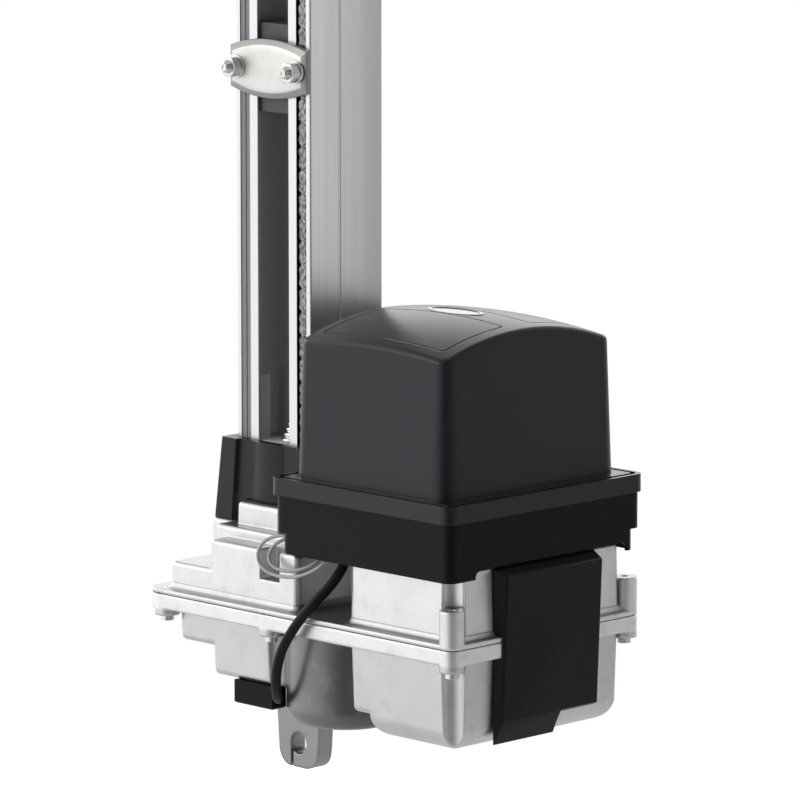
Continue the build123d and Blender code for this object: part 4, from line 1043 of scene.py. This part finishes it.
@dataclass
class CarriageHardware:
    """The threaded studs, washers and nuts on the carriage plate."""

    stud_x: float = 28.5 * MM
    stud_radius: float = 4.0 * MM
    thread_pitch: float = 1.25 * MM
    thread_depth: float = 0.55 * MM
    thread_rows: int = 6
    thread_start: float = 2.0 * MM
    thread_stop: float = 1.2 * MM
    tip: float = 1.0 * MM
    tip_chamfer: float = 0.8 * MM
    dimple: float = 1.6 * MM
    dimple_floor: float = 1.2 * MM
    dimple_depth: float = 0.5 * MM
    flats: float = 13.0 * MM
    nut_height: float = 6.5 * MM
    nut_levels: tuple[float, ...] = (0.0, 0.05, 0.1, 0.16, 0.25, 0.5, 0.75, 0.84, 0.9, 0.95, 1.0)
    nut_crown: float = 0.95
    nut_slope: float = math.sqrt(3)
    nut_bore: float = 0.98
    bore_chamfer: float = 0.6 * MM
    washer_radius: float = 8.0 * MM
    washer_soft: float = 0.25 * MM
    washer_play: float = 0.2 * MM
    columns: int = 72

    def both(self, rows: list[np.ndarray], face_y: float) -> Shape:
        """Turn a profile about each stud's axis, outwards from a plane.

        Args:
            rows: Profile rows of radius and height, each for all columns or one by one.
            face_y: The Y of height zero; heights run towards -Y.

        Returns:
            Points and faces of both copies.
        """
        profile = np.stack([np.broadcast_to(row, (self.columns, 2)) for row in rows])
        faces = lattice(len(rows), self.columns, True, True)
        origins = [(way * self.stud_x, face_y, CARRIAGE_Z) for way in (-1, 1)]
        return joined([(turned(profile, self.columns, origin, (0.0, -1.0, 0.0)), faces)
                       for origin in origins])

    def nuts(self, shop: Workshop) -> None:
        """Hexagon nuts: at each height the radius is the lesser of the hexagon's and a chamfer cone's.

        Args:
            shop: Where the piece is made.
        """
        _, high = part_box("carriage_nuts")
        angle = np.linspace(0, 2 * math.pi, self.columns, endpoint=False)
        apothem = self.flats / 2
        hexagon = apothem / np.cos((angle % (math.pi / 3)) - math.pi / 6)
        bore = self.stud_radius * self.nut_bore
        rows = [np.array([bore, 0.0])]
        for share in self.nut_levels:
            height = share * self.nut_height
            near_face = min(height, self.nut_height - height)
            cone = apothem * self.nut_crown + near_face * self.nut_slope
            rows.append(np.stack([np.minimum(hexagon, cone), np.full(self.columns, height)], axis=1))
        rows.append(np.array([bore + self.bore_chamfer, self.nut_height]))
        rows.append(np.array([bore, self.nut_height - self.bore_chamfer]))
        points, faces = self.both(rows, high.y)
        shop.piece("carriage_hex_nuts", points, faces, ZINC, Body.CARRIAGE,
                   ("carriage_nuts",), crease=22.0)

    def washers(self, shop: Workshop) -> None:
        """Flat washers with rounded rims.

        Args:
            shop: Where the piece is made.
        """
        low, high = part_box("carriage_washers")
        thick = high.y - low.y
        soft = self.washer_soft
        inner, outer = self.stud_radius + self.washer_play, self.washer_radius
        rows = [np.array(row) for row in (
            (inner, 0.0), (outer - soft, 0.0), (outer, soft), (outer, thick - soft), (outer - soft, thick),
            (inner + soft, thick), (inner, thick - soft))]
        points, faces = self.both(rows, high.y)
        shop.piece("carriage_flat_washers", points, faces, ZINC, Body.CARRIAGE,
                   ("carriage_washers",))

    def studs(self, shop: Workshop) -> None:
        """Threaded studs with a dimple in the tip.

        The radius falls by a triangle wave of the height over the pitch, less the share of a turn.

        Args:
            shop: Where the piece is made.
        """
        low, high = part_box("carriage_studs")
        length = high.y - low.y
        turn = np.linspace(0, 1, self.columns, endpoint=False)
        rows = [np.array([0.0, 0.0]), np.array([self.stud_radius, 0.0])]
        for height in np.arange(self.thread_start, length - self.thread_stop,
                                self.thread_pitch / self.thread_rows):
            wave = np.abs(2 * ((height / self.thread_pitch - turn) % 1.0) - 1)
            radius = self.stud_radius - self.thread_depth * wave
            rows.append(np.stack([radius, np.full(self.columns, height)], axis=1))
        root = self.stud_radius - self.thread_depth
        floor = length - self.dimple_depth
        rows += [np.array(row) for row in (
            (root, length - self.tip), (root - self.tip_chamfer, length), (self.dimple, length),
            (self.dimple_floor, floor), (0.0, floor))]
        points, faces = self.both(rows, high.y)
        shop.piece("carriage_threaded_studs", points, faces, ZINC, Body.CARRIAGE,
                   ("carriage_studs",), crease=50.0)

    def build(self, shop: Workshop) -> None:
        """Make all the hardware.

        Args:
            shop: Where the pieces are made.
        """
        self.studs(shop)
        self.washers(shop)
        self.nuts(shop)


@dataclass
class CarriageFace:
    """The carriage plate: a lens outline with a wide bevel round its front, laid on the solid's place.

    The shoulder and the brow are the soft turns into the bevel and out of it, and the cap is the
    outline's inset where a flat face closes the plate.
    """

    half: float = 37.0 * MM
    end_half: float = 14.0 * MM
    middle_half: float = 20.0 * MM
    bevel_width: float = 4.8 * MM
    bevel_depth: float = 2.5 * MM
    soft: float = 0.4 * MM
    shoulder_inset: float = 0.32 * MM
    shoulder_depth: float = 0.1 * MM
    brow_depth: float = 0.2 * MM
    cap: float = 8.4 * MM
    arc_points: int = 41

    def outline(self, inset: float) -> np.ndarray:
        """Points in X and Z: each long edge is an arc through the ends' corners and the middle.

        Args:
            inset: How far the outline lies inside the plate's rim.

        Returns:
            The closed outline, from the right end's upper corner round to its lower one.
        """
        half, end, middle = (size - inset for size in (self.half, self.end_half, self.middle_half))
        radius = (half * half + (middle - end) ** 2) / (2 * (middle - end))
        x = np.linspace(half, -half, self.arc_points)
        top = np.sqrt(radius * radius - x * x) - radius + middle
        return np.concatenate([np.stack([x, top], axis=1), np.stack([-x, -top], axis=1)])

    def build(self, shop: Workshop) -> None:
        """Stack the outline from the back face to the front one and close both.

        Args:
            shop: Where the piece is made.
        """
        low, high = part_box("carriage_plate")
        bevel_y = low.y + self.bevel_depth
        rings = []
        for inset, y in ((self.cap, high.y), (self.soft, high.y), (0.0, high.y - self.soft),
                         (0.0, bevel_y + self.soft), (self.shoulder_inset, bevel_y - self.shoulder_depth),
                         (self.bevel_width - self.soft, low.y + self.brow_depth),
                         (self.bevel_width + self.soft, low.y), (self.cap, low.y)):
            flat = self.outline(inset)
            rings.append(np.column_stack([flat[:, 0], np.full(len(flat), y), flat[:, 1] + CARRIAGE_Z]))
        points, faces = capped(rings)
        shop.piece("carriage_lens", points, faces, PLATE, Body.CARRIAGE,
                   ("carriage_plate",), crease=25.0)


@dataclass
class CaseTrim:
    """What rounds the upper case off: the walls of its corner flutes and the concave feet of its blocks.

    A flute is the X and Y of its centre and the two angles between which its wall runs, in degrees. A
    block is its left, right, front and back.
    """

    flute_radius: float = 9.8 * MM
    flute_wall: float = 0.8 * MM
    flute_low: float = 131.0 * MM
    flute_high: float = 156.0 * MM
    flutes: tuple[tuple[float, float, float, float], ...] = (
        (210.5 * MM, -71.0 * MM, 84.0, 168.0), (210.5 * MM, 93.5 * MM, 207.0, 276.0))
    foot: float = 4.5 * MM
    sunk: float = 0.6 * MM
    corner: float = 5.0 * MM
    flange_top: float = 109.6 * MM
    blocks: tuple[tuple[float, float, float, float], ...] = (
        (-60.0 * MM, 65.0 * MM, -71.0 * MM, 94.0 * MM), (114.0 * MM, 213.5 * MM, -71.0 * MM, 91.0 * MM))
    steps: int = 12

    def flute_walls(self, shop: Workshop) -> None:
        """Upright walls between two arcs about one centre, one arc out and the other back.

        Args:
            shop: Where the piece is made.
        """
        shapes = []
        for x, y, start, end in self.flutes:
            arc = np.radians(np.linspace(start, end, 2 * self.steps))
            turn = np.concatenate([arc, arc[::-1]])
            radius = np.repeat([self.flute_radius, self.flute_radius + self.flute_wall], len(arc))
            flat = np.stack([x + radius * np.cos(turn), y + radius * np.sin(turn)], axis=1)
            count = len(flat)
            rings = [np.column_stack([flat, np.full(count, z)]) for z in (self.flute_low, self.flute_high)]
            faces = lattice(2, count, False, True)
            for first in (0, count):
                last = first + count - 1
                faces += [[first + i, first + i + 1, last - 1 - i, last - i] for i in range(len(arc) - 1)]
            shapes.append((np.concatenate(rings), faces))
        points, faces = joined(shapes)
        shop.piece("flute_walls", points, faces, CAST, Body.CASE, crease=50.0)

    def feet(self, shop: Workshop) -> None:
        """Concave strips round the blocks' feet: a quarter circle swept along a rounded rectangle.

        At a corner the strip turns about the corner's centre, from each side's outward angle to the next.

        Args:
            shop: Where the piece is made.
        """
        turn = np.linspace(0, math.pi / 2, self.steps)
        curve = np.stack([self.foot * (1 - np.sin(turn)), self.foot * (1 - np.cos(turn))], axis=1)
        profile = np.concatenate([[[-self.sunk, -self.sunk], [self.foot, -self.sunk]], curve,
                                  [[-self.sunk, self.foot]]])
        shapes = []
        for left, right, front, back in self.blocks:
            inner_left, inner_right = left + self.corner, right - self.corner
            inner_front, inner_back = front + self.corner, back - self.corner
            centres = ((inner_right, inner_front, -90.0), (inner_right, inner_back, 0.0),
                       (inner_left, inner_back, 90.0), (inner_left, inner_front, 180.0))
            spine = np.array([(x, y, math.radians(angle)) for x, y, start in centres
                              for angle in np.linspace(start, start + 90.0, self.steps)])
            reach = self.corner + profile[:, 0]
            x = spine[:, 0, None] + reach * np.cos(spine[:, 2, None])
            y = spine[:, 1, None] + reach * np.sin(spine[:, 2, None])
            z = np.broadcast_to(self.flange_top + profile[:, 1], x.shape)
            shapes.append((np.stack([x, y, z], axis=-1).reshape(-1, 3),
                           lattice(len(spine), len(profile), True, True)))
        points, faces = joined(shapes)
        shop.piece("block_feet", points, faces, CAST, Body.CASE, crease=50.0)

    def build(self, shop: Workshop) -> None:
        """Make the walls and the feet.

        Args:
            shop: Where the pieces are made.
        """
        self.flute_walls(shop)
        self.feet(shop)


@dataclass
class SideBox:
    """The box on the right end: a slab that tapers outwards, with a bevelled rim and a stepped lower end.

    The wall and the face are each the lowest and highest Y, then the lowest and highest Z.
    """

    wall_x: float = 213.3 * MM
    wall: tuple[float, float, float, float] = (-36.0 * MM, 60.0 * MM, 36.5 * MM, 155.7 * MM)
    face: tuple[float, float, float, float] = (-32.0 * MM, 58.5 * MM, 52.4 * MM, 150.5 * MM)
    face_low_x: float = 219.2 * MM
    face_high_x: float = 223.4 * MM
    step_y: float = 22.0 * MM
    step_slant: float = 3.0 * MM
    step_z: float = 50.0 * MM
    edge: float = 0.9 * MM

    def outline(self, sides: tuple[float, float, float, float], step_z: float) -> np.ndarray:
        """A rectangle in Y and Z whose far lower corner is cut away up to a height.

        Args:
            sides: The lowest and highest Y, then the lowest and highest Z.
            step_z: The height of the cut.

        Returns:
            Six corners in order.
        """
        near, far, bottom, top = sides
        return np.array([(near, bottom), (self.step_y, bottom), (self.step_y + self.step_slant, step_z),
                         (far, step_z), (far, top), (near, top)])

    def build(self, shop: Workshop) -> None:
        """Join the outline on the wall to the smaller one on the sloping outer face.

        Args:
            shop: Where the piece is made.
        """
        _, _, face_bottom, face_top = self.face
        lean = (self.face_high_x - self.face_low_x) / (face_top - face_bottom)
        wall, face = self.outline(self.wall, self.step_z), self.outline(self.face, face_bottom)
        face_x = self.face_low_x + lean * (face[:, 1] - face_bottom)
        points, faces = capped([np.column_stack([np.full(len(wall), self.wall_x), wall]),
                                np.column_stack([face_x, face])])
        box = shop.piece("side_box_shell", points, faces, SIDE_BOX, Body.CASE,
                         ("side_box",), crease=20.0)
        bevel = box.modifiers.new("rounded_edges", "BEVEL")
        bevel.width = self.edge
        bevel.segments = 3
        bevel.limit_method = "ANGLE"
        bevel.angle_limit = math.radians(15)


@dataclass
class Buffer:
    """The bright ribbed cone above the socket."""

    x: float = 6.0 * MM
    y: float = -16.5 * MM
    base_radius: float = 9.0 * MM
    tip_radius: float = 3.0 * MM
    flat_radius: float = 1.5 * MM
    height: float = 15.0 * MM
    ribbed_share: float = 0.98
    ribs: int = 4
    rib_depth: float = 1.2 * MM
    rib_rows: int = 12
    columns: int = 48

    def build(self, shop: Workshop) -> None:
        """A cone whose radius is lowered between ribs by a sharpened cosine of height.

        Args:
            shop: Where the piece is made.
        """
        low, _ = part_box("buffer")
        share = np.linspace(0, 1, self.rib_rows * self.ribs + 1)
        taper = self.base_radius + (self.tip_radius - self.base_radius) * share
        wave = 0.5 - 0.5 * np.cos(2 * math.pi * self.ribs * share)
        radius = taper - self.rib_depth * (1 - np.sqrt(wave))
        cone = np.stack([radius, share * self.height * self.ribbed_share], axis=1)
        cap = np.array([[self.flat_radius, self.height], [0.0, self.height]])
        profile = np.concatenate([[[0.0, 0.0]], cone, cap])
        points = turned(profile, self.columns, (self.x, self.y, low.z), (0.0, 0.0, 1.0))
        faces = lattice(len(profile), self.columns, False, True)
        shop.piece("buffer_cone", points, faces, BRIGHT, Body.CASE, ("buffer",))


@dataclass
class RoofBadge:
    """The bare oval on the roof: a raised rim round a shallow dish.

    The dish and the brink are stations: the share of the way out, and the lift as a share of the rise.
    """

    rim: float = 1.6 * MM
    rise: float = 0.5 * MM
    dish: tuple[tuple[float, float], ...] = ((0.0, 0.15), (0.5, 0.1))
    dish_flat: float = 0.06
    rim_flank: float = 0.03
    brink: tuple[tuple[float, float], ...] = ((0.97, 1.0), (1.0, 0.7), (1.0, -1.5))
    columns: int = 96

    def build(self, shop: Workshop) -> None:
        """An oval grid: at share s of the way out the point is s times the half axes, with the rim raised.

        Args:
            shop: Where the piece is made.
        """
        low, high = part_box("cover_badge")
        middle = (low + high) / 2
        half_long, half_short = (high.x - low.x) / 2, (high.y - low.y) / 2
        inner = 1 - self.rim / half_short
        stations = [*self.dish, (inner - self.dish_flat, 0.0), (inner, 0.0), (inner + self.rim_flank, 1.0),
                    *self.brink]
        angle = np.linspace(0, 2 * math.pi, self.columns, endpoint=False)
        rows = [np.stack([middle.x + share * half_long * np.cos(angle),
                          middle.y + share * half_short * np.sin(angle),
                          np.full(self.columns, high.z + lift * self.rise)], axis=1)
                for share, lift in stations]
        underside = rows[-1].copy()
        underside[:, :2] = (middle.x, middle.y)
        points = np.concatenate(rows + [underside])
        faces = lattice(len(stations) + 1, self.columns, False, True)
        shop.piece("roof_oval", points, faces, BADGE, Body.CASE, ("cover_badge",), crease=40.0)


@dataclass(frozen=True)
class Lead:
    """One lead along a smooth curve; the route's control points are in millimetres."""

    name: str
    node: str
    route: tuple[Point, ...]
    diameter: float
    length: float
    stiffness: str
    finish: Finish
    slot: str

    def build(self, shop: Workshop) -> None:
        """Lay the lead as a NURBS curve with a round bevel.

        Args:
            shop: Where the piece is made.
        """
        curve = bpy.data.curves.new(self.name, "CURVE")
        curve.dimensions = "3D"
        spline = curve.splines.new("NURBS")
        spline.points.add(len(self.route) - 1)
        places = [(*(c * MM for c in point), 1.0) for point in self.route]
        spline.points.foreach_set("co", [c for place in places for c in place])
        spline.order_u = 3
        spline.use_endpoint_u = True
        spline.resolution_u = 10
        curve.bevel_depth = self.diameter / 2
        curve.bevel_resolution = 5
        curve.use_fill_caps = True
        curve.materials.append(shop.material(self.finish))
        made = bpy.data.objects.new(self.name, curve)
        bpy.context.scene.collection.objects.link(made)
        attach(made, Body.CASE.value)
        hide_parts(self.node)
        log.info("%s laid with %d points", self.name, len(self.route))


SENSOR_ROUTE = (
    (102.9, -59.7, 164.0), (103.1, -60.5, 150.0), (100.0, -70.5, 134.5), (91.0, -81.5, 120.5),
    (79.0, -86.2, 104.5), (67.5, -86.8, 88.5), (59.5, -84.5, 72.5), (53.5, -79.5, 59.0),
    (47.5, -72.6, 49.8), (40.8, -65.4, 45.8), (34.3, -59.2, 44.8),
)
OUTER_ROUTE = (
    (61.0, -70.5, 160.5), (52.5, -73.0, 161.0), (44.0, -75.5, 158.5), (37.5, -77.5, 153.5),
    (35.0, -78.7, 146.0), (38.5, -79.5, 139.5), (46.0, -80.0, 135.8), (56.5, -80.2, 134.6),
    (70.0, -80.2, 135.3), (82.0, -78.8, 139.0), (91.5, -75.5, 144.5), (96.5, -70.8, 151.5),
    (98.0, -67.4, 160.0),
)
INNER_ROUTE = (
    (61.0, -64.5, 158.5), (54.0, -67.5, 158.3), (48.3, -70.8, 156.0), (44.2, -73.8, 151.4),
    (42.9, -75.6, 145.9), (45.6, -76.8, 141.0), (51.8, -77.3, 138.6), (61.5, -77.0, 138.0),
    (72.0, -75.3, 140.0), (80.5, -72.0, 143.8), (86.5, -68.2, 150.0), (88.5, -65.5, 158.0),
)
LEADS = (
    Lead("sensor_lead", "sensor_cable", SENSOR_ROUTE, 6.8 * MM, 0.1581, "medium", RUBBER, "cable_black"),
    Lead("outer_wire_loop", "outer_wire", OUTER_ROUTE, 2.4 * MM, 0.1161, "limp", WIRE, "wire_grey"),
    Lead("inner_wire_loop", "inner_wire", INNER_ROUTE, 2.4 * MM, 0.0872, "limp", WIRE, "wire_grey"),
)


def corners(low: Vector, high: Vector) -> list[list[float]]:
    """Two corners as plain lists of numbers."""
    return [[round(c, 6) for c in low], [round(c, 6) for c in high]]


def main(solid_box: tuple[Vector, Vector]) -> None:
    """Build the studio and dress every piece.

    Args:
        solid_box: The solid model's lowest and highest corners; not used.
    """
    shop = Workshop()
    Studio().build()
    for lead in LEADS:
        lead.build(shop)
    for finish, nodes in NODE_FINISHES.items():
        for node in nodes:
            shop.dress(node, finish)
    for assembly in (ChainLoop(), CaseTrim(), SideBox(), CarriageFace(), CarriageHardware(), Buffer(),
                     RoofBadge()):
        assembly.build(shop)


if __name__ == "__main__":
    logging.basicConfig(level=logging.INFO, format="%(message)s")
    main(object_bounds())
